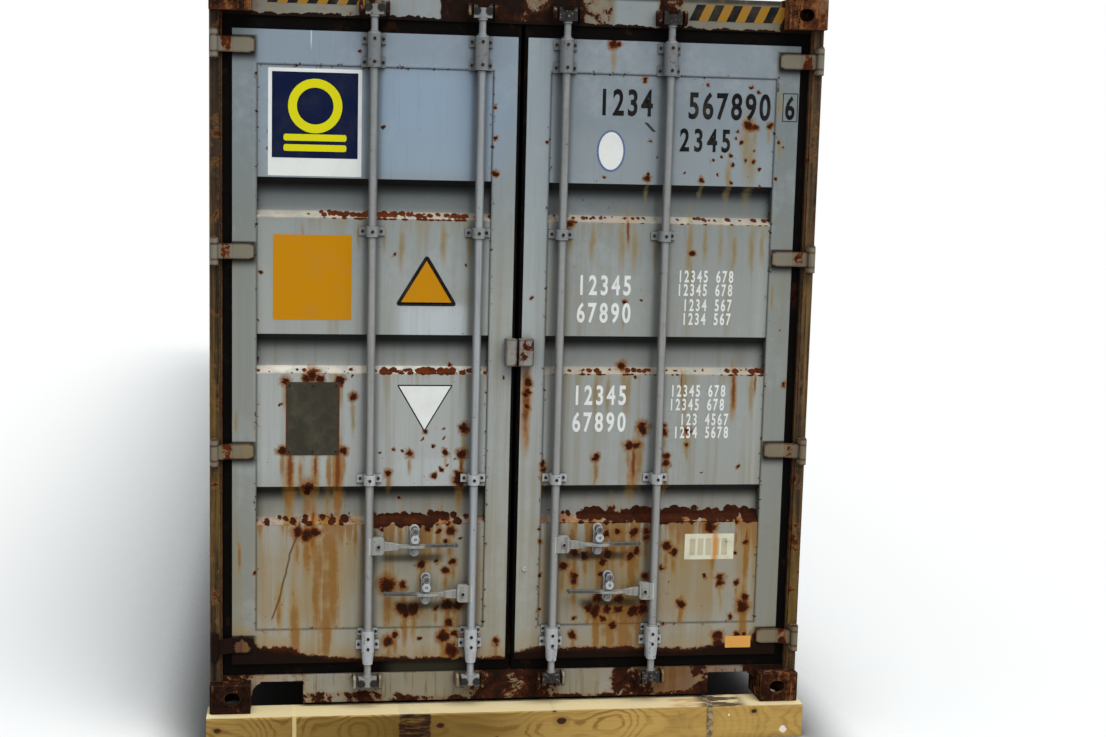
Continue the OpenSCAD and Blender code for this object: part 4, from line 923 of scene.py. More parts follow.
def rubber():
    """Black seal with dust that settled on it and a mossy stretch at the foot of the left door."""
    c = colours()
    s = Surface("gasket_rubber", specular_ior_level=0.03)
    dust = s.smooth(s.noise(18, 5, 0.75), 0.5, 0.78)
    runs = s.noise(1, 3, 0.6, stretch=(60, 60, 2))
    moss = s.between(s.x, -0.50, -0.16, 0.04) * s.smooth(s.height, 0.3, 0.2)
    base = s.mix(moss * 0.8 + dust * 0.2, c.rubber, tone(48, 44, 34))
    base = s.mix(s.smooth(s.noise(9, 4, 0.7), 0.62, 0.68) * 0.5, base, rust_tone(s, 0.9))
    return s.finish(base, 0.62 + dust * 0.25, runs, 0.0008, 0.5)


# Knots on the rear bearer, as (x, height, radius) in millimetres, drawn out along the beam
KNOTS = [(-1186, -53, 18), (-293, -53, 20), (207, -47, 24), (175, -4, 9), (1021, -26, 15), (-60, -112, 9)]
KNOT_DRAW = 0.7
# Pale chips on its front, likewise
CHIPS = [(1148, -106, 22), (914, -38, 7)]
# Place and half width of the butt joints, in metres
BEAM_JOINTS = ((-0.882, 0.010), (0.832, 0.018))
# Shade of the upper edge's front, as (x in millimetres, share)
BEAM_SHADE = ((-1230, 0.45), (-900, 0.7), (-500, 1.0), (-150, 0.85), (150, 0.35), (500, 0.05), (1230, 0.1))


def pine():
    """Sawn pine: growth lines that arch along the beam, knots, brown stains, saw marks and butt joints."""
    c = colours()
    s = Surface("pine", specular_ior_level=0.12)
    lean = s.noise(1, 2, 0.5, stretch=(1.3, 0, 0))
    bend = s.noise(1, 3, 0.5, stretch=(2.2, 3, 3))
    heart = s.node("ShaderNodeCombineXYZ", {}, {
        0: s.x * 0.02, 1: abs(s.y) + (REAR_Y - 0.16) + lean * 0.52, 2: s.height + 0.08 + (bend - 0.5) * 0.16})
    rings = s.node("ShaderNodeTexWave", {"wave_type": "RINGS", "rings_direction": "X"}, {
        "Vector": heart, "Scale": 27, "Distortion": 2.4, "Detail": 2, "Detail Scale": 1.6})
    grain = s.noise(1, 4, 0.7, stretch=(5, 190, 190))
    shade = s.profile(s.x, *BEAM_SHADE)
    strength = 0.2 + 0.6 * s.smooth(s.noise(1, 3, 0.6, stretch=(2.4, 6, 14)), 0.35, 0.65)
    strength = strength * (1 - s.smooth(s.x, 0.4, 0.75) * 0.6)
    colour = s.mix(s.smooth(rings, 0.5, 0.98) * strength, c.pine, c.pine_late)
    colour = s.mix(s.smooth(grain, 0.42, 0.75) * 0.35, colour, tone(128, 94, 42))
    colour = s.mix(shade * s.smooth(s.z - FOOT_Z, -0.004, -0.012) * 0.9, colour, tone(90, 66, 22))
    knot = rounded(s, wavering(s, 0.014, 30, KNOT_DRAW), KNOTS, KNOT_DRAW)
    colour = s.mix(s.smooth(knot, -1.1, -0.1) * 0.4, colour, tone(112, 76, 36))
    colour = s.mix(s.smooth(knot, 0.0, 0.35) * 0.95, colour, tone(40, 20, 12))
    patch = s.between(s.x, -0.468, -0.326, 0.014) * s.smooth(s.height, -0.145, -0.10)
    streaks = s.noise(1, 4, 0.7, stretch=(10, 10, 70)) + (patch - 1) * 0.6
    colour = s.mix(s.smooth(streaks, 0.34, 0.56), colour, tone(38, 18, 8))
    stain = s.smooth(s.noise(2.4, 5, 0.7, stretch=(1, 1.5, 2.5)), 0.5, 0.7)
    colour = s.mix(stain * 0.4, colour, tone(120, 88, 40))
    dirt_and_shadow = s.smooth(s.noise(9, 5, 0.75), 0.58, 0.75)
    colour = s.mix(dirt_and_shadow * 0.3, colour, tone(84, 68, 42))
    above = s.smooth(s.z - FOOT_Z, -0.003, -0.001)
    wet = s.noise(1, 3, 0.6, stretch=(7, 30, 7))
    # The top face lightened as a painted highlight
    colour = s.mix(above * 0.8, colour, tone(206, 192, 152))
    damp = above * s.between(s.x, 0.68, 0.86, 0.03) * s.smooth(wet, 0.40, 0.6)
    colour = s.mix(damp * 0.6, colour, tone(160, 110, 62))
    soaked = above * s.between(s.x, 0.80, 0.98, 0.03) * s.smooth(wet, 0.36, 0.46)
    colour = s.mix(soaked * 0.9, colour, tone(52, 32, 20))
    chip = rounded(s, wavering(s, 0.02, 40), CHIPS)
    colour = s.mix(s.smooth(chip, 0.2, 0.4) * 0.9, colour, tone(226, 220, 204))
    mottled = s.mix(s.smooth(s.noise(60, 3, 0.7), 0.4, 0.6), tone(70, 60, 46), tone(150, 138, 112))
    for (place, half), filler in zip(BEAM_JOINTS, (tone(208, 188, 134), mottled)):
        colour = s.mix(s.smooth(abs(s.x - place), half, half * 0.6) * 0.75, colour, filler)
    # Painted shade in the corners
    colour = s.mix(corner_shade(s, 0.05) * 0.6, colour, tone(50, 34, 18))
    saw = s.noise(1, 2, 0.5, stretch=(260, 3, 3))
    bump = grain * 0.8 + rings * 0.3 + saw * 0.35
    return s.finish(colour, 0.72 + (grain - 0.5) * 0.2, bump, 0.0012, 0.7)


def plywood():
    """Floor boards across the box, with their seams, face grain and scuffs."""
    c = colours()
    s = Surface("plywood", specular_ior_level=0.3)
    grain = s.noise(1, 5, 0.7, stretch=(8, 120, 8))
    board = s.node("ShaderNodeMath", {"operation": "FRACT"}, {0: s.y / 1.22 + 100})
    seam = s.smooth(abs(board - 0.5), 0.4975, 0.4985)
    scuff = s.smooth(s.noise(1, 5, 0.75, stretch=(22, 1.6, 4)), 0.5, 0.72)
    colour = s.mix(s.smooth(grain, 0.35, 0.7) * 0.5, c.ply, tone(96, 64, 40))
    colour = s.mix(scuff * 0.5, colour, tone(150, 126, 96))
    colour = s.mix(seam, colour, tone(28, 22, 18))
    return s.finish(colour, 0.7 - scuff * 0.1, grain - seam, 0.0012, 0.6)


def coating():
    """Black wax coating under the floor, with dust and rust coming through."""
    c = colours()
    s = Surface("underside_coating", specular_ior_level=0.18)
    cloud = s.noise(5, 5, 0.7)
    base = s.mix(s.smooth(cloud, 0.45, 0.75) * 0.5, c.coating, tone(84, 76, 64))
    base = s.mix(s.smooth(s.noise(12, 5, 0.75), 0.62, 0.68), base, rust_tone(s, 0.4))
    return s.finish(base, 0.7 + (cloud - 0.5) * 0.3, cloud, 0.002, 0.6)


def mark(name, colour, wear=0.25, rough=0.5, run=None):
    """A painted or glued mark, thinned by wear and dirt. run is the place across of a brown run, if any."""
    s = Surface(name, specular_ior_level=0.06)
    fade = s.noise(11, 4, 0.65)
    speck = s.noise(120, 4, 0.8)
    worn = s.smooth(speck + (fade - 0.5) * 0.6, 0.80 - wear * 0.3, 0.88 - wear * 0.3)
    base = s.mix(s.smooth(fade, 0.4, 0.8) * wear * 0.6, colour, tone(118, 108, 86))
    base = s.mix(worn * wear * 2.5, base, tone(112, 112, 104))
    if run is not None:
        aside = abs(s.x - run) + (fade - 0.5) * 0.02
        base = s.mix(s.smooth(aside, 0.020, 0.004) * 0.8, base, tone(186, 122, 34))
    return s.finish(base, rough + (fade - 0.5) * 0.2, speck, 0.0002, 0.5)


def plate_metal():
    """Dull grey-green sheet with brushed lines, tarnish and rust round its rim."""
    c = colours()
    low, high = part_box("data_plate")
    s = Surface("plate_metal", specular_ior_level=0.18)
    brushed = s.noise(1, 3, 0.6, stretch=(12, 12, 300))
    tarnish = s.noise(16, 4, 0.65)
    base = s.mix(s.smooth(tarnish, 0.35, 0.75) * 0.4, c.plate, tone(84, 82, 64))
    rim = abs(s.x - (low.x + high.x) / 2) - (high.x - low.x) / 2
    base = s.mix(s.smooth(rim + (tarnish - 0.5) * 0.03, -0.012, -0.003) * 0.8, base, rust_tone(s, 0.5))
    return s.finish(base, 0.5 + (brushed - 0.5) * 0.3, brushed, 0.0004, 0.5)


def dark_steel():
    """Blackened bolt heads with patches of rust and pale rubbed edges, partly a painted highlight."""
    s = Surface("bolt_steel", specular_ior_level=0.15)
    grain = s.noise(90, 4, 0.7)
    base = s.mix(s.smooth(grain, 0.45, 0.7) * 0.7, tone(24, 21, 19), tone(78, 52, 34))
    # Pale rubbed edges, partly a painted highlight
    base = s.mix(worn_edges(s, 0.001) * 0.25, base, tone(120, 112, 102))
    return s.finish(base, 0.6 + (grain - 0.5) * 0.3, grain, 0.0006, 0.6)


@contextlib.contextmanager
def editing():
    """Edit mode on the active piece, with all of its mesh selected."""
    bpy.ops.object.mode_set(mode="EDIT")
    bpy.ops.mesh.select_all(action="SELECT")
    yield
    bpy.ops.object.mode_set(mode="OBJECT")


class Piece:
    """Helpers that start, select and finish new meshes by Blender's own operators."""

    @staticmethod
    def clear_selection():
        """Leaves Edit mode and deselects all."""
        if bpy.context.object and bpy.context.object.mode != "OBJECT":
            bpy.ops.object.mode_set(mode="OBJECT")
        bpy.ops.object.select_all(action="DESELECT")

    @staticmethod
    def pick(*pieces):
        """Selects pieces alone and makes the first one active."""
        Piece.clear_selection()
        for piece in pieces:
            piece.select_set(True)
        bpy.context.view_layer.objects.active = pieces[0]

    @staticmethod
    def settle(piece):
        """Puts the piece's place, turn and size into its mesh."""
        Piece.pick(piece)
        bpy.ops.object.transform_apply(location=True, rotation=True, scale=True)
        return piece

    @staticmethod
    def apply(piece, kind, **settings):
        """Adds one modifier with its settings and applies it."""
        Piece.pick(piece)
        modifier = piece.modifiers.new(kind.lower(), kind)
        for key, value in settings.items():
            setattr(modifier, key, value)
        bpy.ops.object.modifier_apply(modifier=modifier.name)

    @staticmethod
    def copy(piece, name, matrix):
        """A copy with its own mesh, put in place by a matrix."""
        made = piece.copy()
        made.data = piece.data.copy()
        made.name = name
        made.data.name = name
        made.data.transform(matrix)
        bpy.context.scene.collection.objects.link(made)
        return made

    @staticmethod
    def join(name, parts):
        """Joins pieces into one with a new name."""
        Piece.pick(*parts)
        if len(parts) > 1:
            bpy.ops.object.join()
        parts[0].name = name
        parts[0].data.name = name
        return parts[0]

    @staticmethod
    def bind(piece, body, slot, *materials):
        """Gives a finished piece its materials and body. The slot argument is not used."""
        if materials:
            while len(piece.data.materials) < len(materials):
                piece.data.materials.append(None)
            for place, material in enumerate(materials):
                piece.data.materials[place] = material
        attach(piece, body)
        return piece


def face_point(x, height, y=None):
    """A point on the door face, from millimetres across and above the casting foot."""
    return Vector((x * MM, PANEL_Y if y is None else y, FOOT_Z + height * MM))


def flat_patch(name, x0, x1, h0, h1, y, corner=0.0):
    """A thin sheet that stands on a face that looks to -Y, its corners rounded by a bevel."""
    Piece.clear_selection()
    middle = face_point((x0 + x1) / 2, (h0 + h1) / 2, y)
    bpy.ops.mesh.primitive_plane_add(size=1, location=middle, rotation=(math.pi / 2, 0, 0))
    piece = bpy.context.object
    piece.name = name
    piece.scale = (abs(x1 - x0) * MM, abs(h1 - h0) * MM, 1)
    Piece.settle(piece)
    if corner:
        with editing():
            bpy.ops.mesh.bevel(affect="VERTICES", offset=corner * MM, segments=3)
    return piece


def thicken(piece, depth):
    """Gives a flat sheet its thickness towards -Y, where its faces look."""
    Piece.apply(piece, "SOLIDIFY", thickness=depth, offset=1)
    return piece


def inset_border(piece, width):
    """Splits a sheet into a border of the given width, slot 0, and a field, slot 1."""
    Piece.pick(piece)
    while len(piece.data.materials) < 2:
        piece.data.materials.append(None)
    with editing():
        bpy.ops.mesh.inset(thickness=width * MM, use_even_offset=True)
        piece.active_material_index = 1
        bpy.ops.object.material_slot_assign()


class CONTAINER_OT_stage(bpy.types.Operator):
    """Makes the camera, the lamps, the pale world and the floor"""
    bl_idname = "container.stage"
    bl_label = "Stage"

    camera_place = (-0.8943, -12.4339, 2.3774)
    yaw, pitch, roll = (math.radians(a) for a in (7.96, 7.39, 1.31))
    lens = 52.49
    shift_x = 0.033
    sun_energy = 2.75
    sun_spread, sun_tilt, sun_turn = (math.radians(a) for a in (46, 32, 24))
    sky = [(0.35, (0.30, 0.29, 0.28)), (0.60, (0.86, 0.90, 0.94))]
    floor_size = 120
    # Reach of the floor's shade round the container, and of its fade into the background, in metres
    floor_shade = (0.30, -0.05)
    floor_fade = (0.5, 3.2)

    def execute(self, context):
        self.camera()
        self.lamps()
        self.world()
        self.floor()
        context.scene.view_settings.view_transform = "Standard"
        return {"FINISHED"}

    def camera(self):
        """The camera that stands where the photograph was taken from."""
        across = Vector((math.cos(self.yaw), -math.sin(self.yaw), 0))
        ahead = Vector((math.sin(self.yaw) * math.cos(self.pitch), math.cos(self.yaw) * math.cos(self.pitch),
                        -math.sin(self.pitch)))
        up = across.cross(ahead)
        right = math.cos(self.roll) * across + math.sin(self.roll) * up
        top = -math.sin(self.roll) * across + math.cos(self.roll) * up
        turn = Matrix((right, top, -ahead)).transposed().to_4x4()
        lens = bpy.data.cameras.new("camera")
        lens.lens = self.lens
        lens.sensor_width = 36
        lens.shift_x = self.shift_x
        lens.clip_end = 200
        camera = bpy.data.objects.new("camera", lens)
        camera.matrix_world = Matrix.Translation(self.camera_place) @ turn
        bpy.context.scene.collection.objects.link(camera)
        bpy.context.scene.camera = camera

    def lamps(self):
        """One broad sun for an overcast sky."""
        sun = bpy.data.lights.new("sky_light", "SUN")
        sun.energy = self.sun_energy
        sun.angle = self.sun_spread
        lamp = bpy.data.objects.new("sky_light", sun)
        lamp.rotation_euler = (self.sun_tilt, 0, self.sun_turn)
        bpy.context.scene.collection.objects.link(lamp)

    def world(self):
        """A white background that the camera sees, over a soft light that is brighter from above."""
        world = bpy.data.worlds.new("pale_studio")
        g = Tree(world)
        up = g.node("ShaderNodeSeparateXYZ", {}, {0: g.node("ShaderNodeTexCoord")}, 2)
        level = g.node("ShaderNodeMapRange", {}, {"Value": up, "From Min": -1})
        light = g.node("ShaderNodeBackground", {}, {"Color": g.ramp(level, self.sky)})
        seen = g.node("ShaderNodeBackground", {}, {"Color": (1, 1, 1)})
        camera = g.node("ShaderNodeLightPath", output="Is Camera Ray")
        glass = g.node("ShaderNodeLightPath", output="Is Transmission Ray")
        either = g.node("ShaderNodeMath", {"operation": "MAXIMUM"}, {0: camera, 1: glass})
        blend = g.node("ShaderNodeMixShader", {}, {0: either, 1: light, 2: seen})
        output = g.tree.nodes.new("ShaderNodeOutputWorld")
        g.tree.links.new(blend.socket, output.inputs[0])
        bpy.context.scene.world = world

    def floor(self):
        """A pale floor with the container's shadow and painted shade round it, fading into the white
        background.
        """
        Piece.clear_selection()
        bpy.ops.mesh.primitive_plane_add(size=self.floor_size)
        floor = bpy.context.object
        floor.name = "stage_floor"
        s = Surface("stage_floor", specular_ior_level=0.1, roughness=0.95)
        cloud = s.noise(0.6, 3, 0.5)
        pale = s.mix(cloud * 0.1, colours().floor, tone(208, 208, 206))
        away = (abs(s.x) - HALF_W).top(abs(s.y) + REAR_Y)
        # Painted shade under and round the container
        pale = s.mix(s.smooth(away, *self.floor_shade) * 0.85, pale, tone(44, 44, 43))
        # Painted shade from ambient occlusion near the container
        s.plug(s.shader.inputs["Base Color"], s.mix(corner_shade(s, 1.2) * 0.9, pale, tone(30, 29, 28)))
        white = s.node("ShaderNodeEmission", {}, {"Color": (1, 1, 1), "Strength": 1.0})
        lit = Value(s, s.shader.outputs[0])
        shown = s.node("ShaderNodeMixShader", {}, {0: s.smooth(away, *self.floor_fade), 1: lit, 2: white})
        s.tree.links.new(shown.socket, s.output.inputs[0])
        floor.data.materials.append(s.material)
        floor.visible_diffuse = False


class CONTAINER_OT_door_paint(bpy.types.Operator):
    """Paints the frames and corrugated panels of both doors"""
    bl_idname = "container.door_paint"
    bl_label = "Door paint"

    # Limits in millimetres: spots above the first lie on the panel, those outside the next two on the
    # frame as well, and so do the stains below the last
    panel_low = 290
    frame_low, frame_high = 340, 2570
    stain_low = 420
    # How far a spot may lie over the panel's border and count as on the frame, or past it and on the panel
    overlap, margin = 10, 40

    def off_panel(self, spot):
        """True for a spot on the frame beside the panel, or over the border."""
        inner, outer = (edge * 1000 for edge in PANEL_X)
        return not inner + self.overlap < abs(spot[0]) < outer - self.overlap

    def execute(self, context):
        past = PANEL_X[1] * 1000 - self.overlap + self.margin
        for side, spots, stains, runs in (("left", LEFT_SPOTS, LEFT_STAINS, LEFT_RUNS),
                                          ("right", RIGHT_SPOTS, RIGHT_STAINS, RIGHT_RUNS)):
            on_panel = [v for v in spots if v[1] > self.panel_low and abs(v[0]) < past]
            on_frame = [v for v in spots if self.off_panel(v) or not self.frame_low < v[1] < self.frame_high]
            run_frame = [v for v in stains if self.off_panel(v) or v[1] < self.stain_low]
            edge_runs = [v for v in runs if self.off_panel(v)] or runs[-1:]
            panel, leaf = f"door_{side}_panel", f"door_{side}_frame"
            dress(door_paint(f"{panel}_paint", side, on_panel, stains, runs, True), panel)
            dress(door_paint(f"{leaf}_paint", side, on_frame, run_frame, edge_runs, False), leaf)
        return {"FINISHED"}


class CONTAINER_OT_body_paint(bpy.types.Operator):
    """Paints the side walls, rails, front end and roof"""
    bl_idname = "container.body_paint"
    bl_label = "Body paint"

    def execute(self, context):
        paint = colours().side_paint
        dress(worn_paint("body_paint", wall_colour, foot_rust, grime_and_shade=0.75, reach=0.22),
              "side_wall_left", "side_wall_right", "front_wall", "vents")
        dress(worn_paint("rail_paint", paint, 0.45),
              "bottom_side_rail_left", "bottom_side_rail_right", "top_side_rail_left", "top_side_rail_right")
        dress(worn_paint("front_frame_paint", paint, 0.5),
              "front_sill", "front_header", "front_post_left", "front_post_right")
        dress(worn_paint("roof_paint", wall_colour, 0.5, grime_and_shade=0.75, reach=0.2), "roof", "roof_corner_plates")
        return {"FINISHED"}


class CONTAINER_OT_end_frame(bpy.types.Operator):
    """Finishes the rear sill, header, posts, hinges, keepers and all corner castings"""
    bl_idname = "container.end_frame"
    bl_label = "End frame"

    def execute(self, context):
        dress(worn_paint("sill_paint", sill_colour, sill_rust, 0.75, 0.8), "door_sill")
        dress(worn_paint("header_paint", header_colour, header_rust, header_depth, chalk=0.15), "door_header")
        keepers = worn_paint("keeper_paint", sill_colour, keeper_rust, 0.8, 0.95, chips=0.006, rim=0.3,
                             outline=0.9)
        dress(keepers, "cam_keepers")
        posts = worn_paint("post_paint", post_colour, 0.5, 0.6, chips=0.008, chalk=0.0)
        dress(posts, "rear_post_left", "rear_post_right")
        hinges = worn_paint("hinge_paint", blade_colour, blade_rust, blade_depth, 0.9, chips=0.012, rim=0.40,
                            chalk=0.06, outline=0.95)
        for side in ("left", "right"):
            dress(hinges, f"hinge_lugs_{side}", f"door_{side}_hinge_blades")
        dress(bare_rust(), "corner_castings")
        return {"FINISHED"}


class CONTAINER_OT_locking_gear(bpy.types.Operator):
    """Finishes the lock rods, bearings, handles, catches and the lock box"""
    bl_idname = "container.locking_gear"
    bl_label = "Locking gear"

    def execute(self, context):
        bright = zinc("galvanised_steel", colours().zinc, 0.3)
        for side in RODS:
            tint = tone(152, 156, 158) if side == "left_inner" else colours().rod
            dress(zinc(f"rod_{side}_zinc", tint, 0.3, ROD_X[side]), f"lock_rod_{side}")
            dress(zinc(f"handle_{side}_zinc", colours().handle, 0.6, ROD_X[side], True), f"handle_{side}")
        for side in ("left", "right"):
            dress(bright, f"door_{side}_rod_bearings", f"door_{side}_handle_catches")
        lock_box = worn_paint("lock_box_paint", tone(118, 117, 110), 0.56, 0.6, 0.8, chips=0.012, rim=0.34,
                              outline=0.9)
        dress(lock_box, "door_left_lock_box", "door_right_lock_box")
        return {"FINISHED"}


class CONTAINER_OT_seals_and_floor(bpy.types.Operator):
    """Finishes the door seals, the floor, its underside, the bearers and the data plate"""
    bl_idname = "container.seals_and_floor"
    bl_label = "Seals, floor and bearers"

    def execute(self, context):
        dress(rubber(), "door_left_gasket", "door_right_gasket")
        dress(plywood(), "floor")
        dress(coating(), "cross_members", "gooseneck_tunnel")
        dress(pine(), "timber_bearer_rear", "timber_bearer_front")
        dress(plate_metal(), "data_plate")
        return {"FINISHED"}


class CONTAINER_OT_patches(bpy.types.Operator):
    """Adds the blank coloured patches on both doors"""
    bl_idname = "container.patches"
    bl_label = "Patches"

    # Left, right, low and high edge of each patch, in millimetres
    orange_panel = (-974, -666, 1589, 1925)
    square_border = (-995, -632, 2154, 2569)
    square_field = (-980, -647, 2224, 2555)
    square_bars = ((-935, -691, 2250, 2276), (-935, -691, 2290, 2316))
    pale_label = (726, 936, 598, 707)
    label_bars = [(x, x + 24, 616, 688) for x in range(748, 900, 34)]
    small_label = (915, 1025, 216, 266)
    # Middle of the ring on the square patch, its radius and its width
    ring = (-813, 2425, 105, 34)

    def execute(self, context):
        c = colours()
        skin = sizes().mark_skin
        blue = mark("patch_blue", c.patch_blue, 0.1, 0.35)
        yellow = mark("patch_yellow", c.patch_yellow, 0.1, 0.4)
        orange = mark("patch_orange", c.patch_orange, 0.2, 0.45)
        white = mark("patch_white", c.white, 0.2, 0.45)
        black = mark("patch_black", c.black, 0.2, 0.5)
        self.square(skin, white, blue, yellow)
        self.sheet("patch_orange_panel", self.orange_panel, PANEL_Y, 4, "door_left", orange)
        self.triangle("patch_triangle", -368, 1648, 252, 208, False, 14, (black, orange), skin)
        self.triangle("patch_triangle_down", -368, 1138, 226, 192, True, 5, (black, white), skin)
        self.oval(skin, mark("patch_rim_blue", tone(84, 104, 142), 0.4), white)
        pale = mark("label_pale", tone(204, 200, 176), 0.5, run=0.856)
        self.sheet("patch_pale_label", self.pale_label, PANEL_Y, 3, "door_right", pale)
        faded = mark("label_faded", tone(180, 172, 146), 0.7, run=0.856)
        bars = [flat_patch(f"bar_{k}", *box, PANEL_Y - skin, 2) for k, box in enumerate(self.label_bars)]
        Piece.bind(thicken(Piece.join("patch_label_bars", bars), skin), "door_right", "door_paint", faded)
        amber = mark("label_amber", tone(208, 150, 74), 0.3)
        self.sheet("patch_small_label", self.small_label, LEAF_Y, 3, "door_right", amber)
        return {"FINISHED"}

    def sheet(self, name, box, y, corner, door, material):
        """A thin coloured sheet on the plane y of a door, with its corners rounded."""
        piece = thicken(flat_patch(name, *box, y, corner), sizes().mark_skin)
        Piece.bind(piece, door, "door_paint", material)

    def square(self, skin, white, blue, yellow):
        """Square patch: white border, dark field, and a ring and bars of no one's design."""
        self.sheet("patch_square_border", self.square_border, PANEL_Y, 3, "door_left", white)
        self.sheet("patch_square_field", self.square_field, PANEL_Y - skin, 2, "door_left", blue)
        Piece.clear_selection()
        x, high, radius, width = self.ring
        front = PANEL_Y - 2 * skin
        bpy.ops.mesh.primitive_circle_add(
            vertices=64, radius=radius * MM, fill_type="NGON", location=face_point(x, high, front),
            rotation=(math.pi / 2, 0, 0))
        ring = bpy.context.object
        with editing():
            bpy.ops.mesh.inset(thickness=width * MM)
            bpy.ops.mesh.delete(type="FACE")
        Piece.settle(ring)
        bars = [flat_patch(f"bar_{k}", *box, front, 8) for k, box in enumerate(self.square_bars)]
        motif = Piece.join("patch_square_motif", [ring, *bars])
        Piece.bind(thicken(motif, skin), "door_left", "door_paint", yellow)

    def triangle(self, name, x, low, width, high, down, border, materials, skin):
        """Blank triangular patch with a dark border; down points it to the ground."""
        Piece.clear_selection()
        bpy.ops.mesh.primitive_circle_add(
            vertices=3, radius=1, fill_type="NGON", rotation=(math.pi / 2, 0, 0))
        piece = bpy.context.object
        piece.name = name
        Piece.settle(piece)
        corners = [Vector((-width / 2, 0, 0)), Vector((width / 2, 0, 0)), Vector((0, 0, high))]
        if down:
            corners = [Vector((v.x, 0, high - v.z)) for v in corners]
        order = sorted(piece.data.vertices, key=lambda v: (round(v.co.z, 3), v.co.x))
        for vertex, corner in zip(order, corners):
            vertex.co = face_point(x + corner.x, low + corner.z)
        with editing():
            bpy.ops.mesh.normals_make_consistent(inside=False)
            bpy.ops.mesh.bevel(affect="VERTICES", offset=border * 1.4 * MM, segments=4)
        if piece.data.polygons[0].normal.y > 0:
            piece.data.flip_normals()
        inset_border(piece, border)
        Piece.bind(thicken(piece, skin), "door_left", "door_paint", *materials)

    def oval(self, skin, rim, white):
        """The white oval on the right door, with a thin blue rim."""
        Piece.clear_selection()
        bpy.ops.mesh.primitive_circle_add(vertices=48, radius=1, fill_type="NGON",
                                          location=face_point(364, 2279), rotation=(math.pi / 2, 0, 0))
        piece = bpy.context.object
        piece.name = "patch_oval"
        piece.scale = (58 * MM, 83 * MM, 1)
        Piece.settle(piece)
        inset_border(piece, 8)
        Piece.bind(thicken(piece, skin), "door_right", "door_paint", rim, white)


class CONTAINER_OT_digits(bpy.types.Operator):
    """Adds the rows of plain digits on the right door"""
    bl_idname = "container.digits"
    bl_label = "Digits"

    boldness = 0.034
    # Text, left edge, height above the foot, size of the digits, how narrow they are and their step
    dark_rows = [("1234", 302, 2423, 103, 0.66, 58), ("567890", 668, 2418, 104, 0.66, 59),
                 ("6", 1076, 2424, 92, 0.66, 40), ("2345", 636, 2287, 90, 0.66, 57)]
    pale_rows = [("12345", 236, 1702, 79, 0.64, 47), ("67890", 236, 1590, 79, 0.64, 47),
                 ("12345", 230, 1252, 79, 0.64, 47), ("67890", 230, 1141, 79, 0.64, 47)]
    small_rows = [("12345 678", 654, 1757), ("12345 678", 652, 1702), ("1234 567", 678, 1640),
                  ("1234 567", 676, 1583), ("12345 678", 639, 1286), ("12345 678", 636, 1229),
                  ("123 4567", 683, 1167), ("1234 5678", 658, 1113)]
    small_size = (48, 0.58, 26.5)
    # Height of a digit as a share of the font's size
    font_height = 0.72

    def execute(self, context):
        black = mark("digit_black", colours().black, 0.25, 0.5)
        white = mark("digit_white", colours().white, 0.2, 0.45)
        for number, row in enumerate(self.dark_rows):
            self.row(f"digits_dark_{number}", row, black)
        for number, row in enumerate(self.pale_rows):
            self.row(f"digits_pale_{number}", row, white)
        for number, (text, x, low) in enumerate(self.small_rows):
            self.row(f"digits_small_{number}", (text, x, low, *self.small_size), white)
        self.box(black)
        return {"FINISHED"}

    def row(self, name, row, material):
        """One row of digits, its characters set a fixed step apart."""
        text, x, low, high, narrow, step = row
        y = LEAF_Y if x > 1040 else PANEL_Y
        digits = []
        for place, character in enumerate(text):
            if character == " ":
                continue
            Piece.clear_selection()
            bpy.ops.object.text_add(location=(0, 0, 0))
            letter = bpy.context.object.data
            letter.body = character
            letter.size = high * MM / self.font_height
            letter.offset = high * MM * self.boldness
            letter.extrude = sizes().mark_skin / 2
            letter.resolution_u = 4
            bpy.ops.object.convert(target="MESH")
            digit = bpy.context.object
            across = [vertex.co.x for vertex in digit.data.vertices]
            indent = 0.5 * (step / narrow - (max(across) - min(across)) / MM) * MM
            digit.data.transform(Matrix.Translation((indent - min(across), 0, 0)))
            digit.data.transform(Matrix.Diagonal((narrow, 1, 1, 1)))
            spot = face_point(x + place * step, low, y - sizes().mark_skin / 2)
            digit.data.transform(Matrix.Translation(spot) @ Matrix.Rotation(math.pi / 2, 4, "X"))
            digits.append(digit)
        piece = Piece.join(name, digits)
        with editing():
            bpy.ops.mesh.remove_doubles(threshold=0.01 * MM)
            bpy.ops.mesh.normals_make_consistent(inside=False)
        Piece.bind(piece, "door_right", "door_paint", material)

    def box(self, black):
        """The thin frame round the last digit."""
        outer = flat_patch("digit_box", 1065, 1128, 2413, 2527, LEAF_Y)
        with editing():
            bpy.ops.mesh.inset(thickness=3 * MM)
            bpy.ops.mesh.delete(type="FACE")
        Piece.bind(thicken(outer, sizes().mark_skin), "door_right", "door_paint", black)


class CONTAINER_OT_stripes(bpy.types.Operator):
    """Adds the slanting black and yellow stripes on the header"""
    bl_idname = "container.stripes"
    bl_label = "Height stripes"

    # Left edge and foot of the two bands, and the stripes' width, height and lean, in millimetres
    bands = (("left", -1000, 2816), ("right", 665, 2802))
    wide, tall, lean = 38, 64, 30
    pairs = 5

    def execute(self, context):
        black = mark("stripe_black", colours().black, 0.35, 0.5)
        yellow = mark("stripe_yellow", tone(146, 104, 28), 0.5, 0.5)
        for side, start, low in self.bands:
            for index, (shade, material) in enumerate((("black", black), ("yellow", yellow)) * self.pairs):
                self.stripe(f"stripe_{side}_{shade}_{index}", start + index * self.wide, low, material)
        return {"FINISHED"}

    def stripe(self, name, x, low, material):
        """One stripe, its upper corners moved to the right."""
        piece = flat_patch(name, x, x + self.wide, low, low + self.tall, HEADER_Y)
        for vertex in piece.data.vertices:
            if vertex.co.z > FOOT_Z + (low + self.tall / 2) * MM:
                vertex.co.x += self.lean * MM
        Piece.bind(thicken(piece, sizes().mark_skin), "frame", "sill_paint", material)


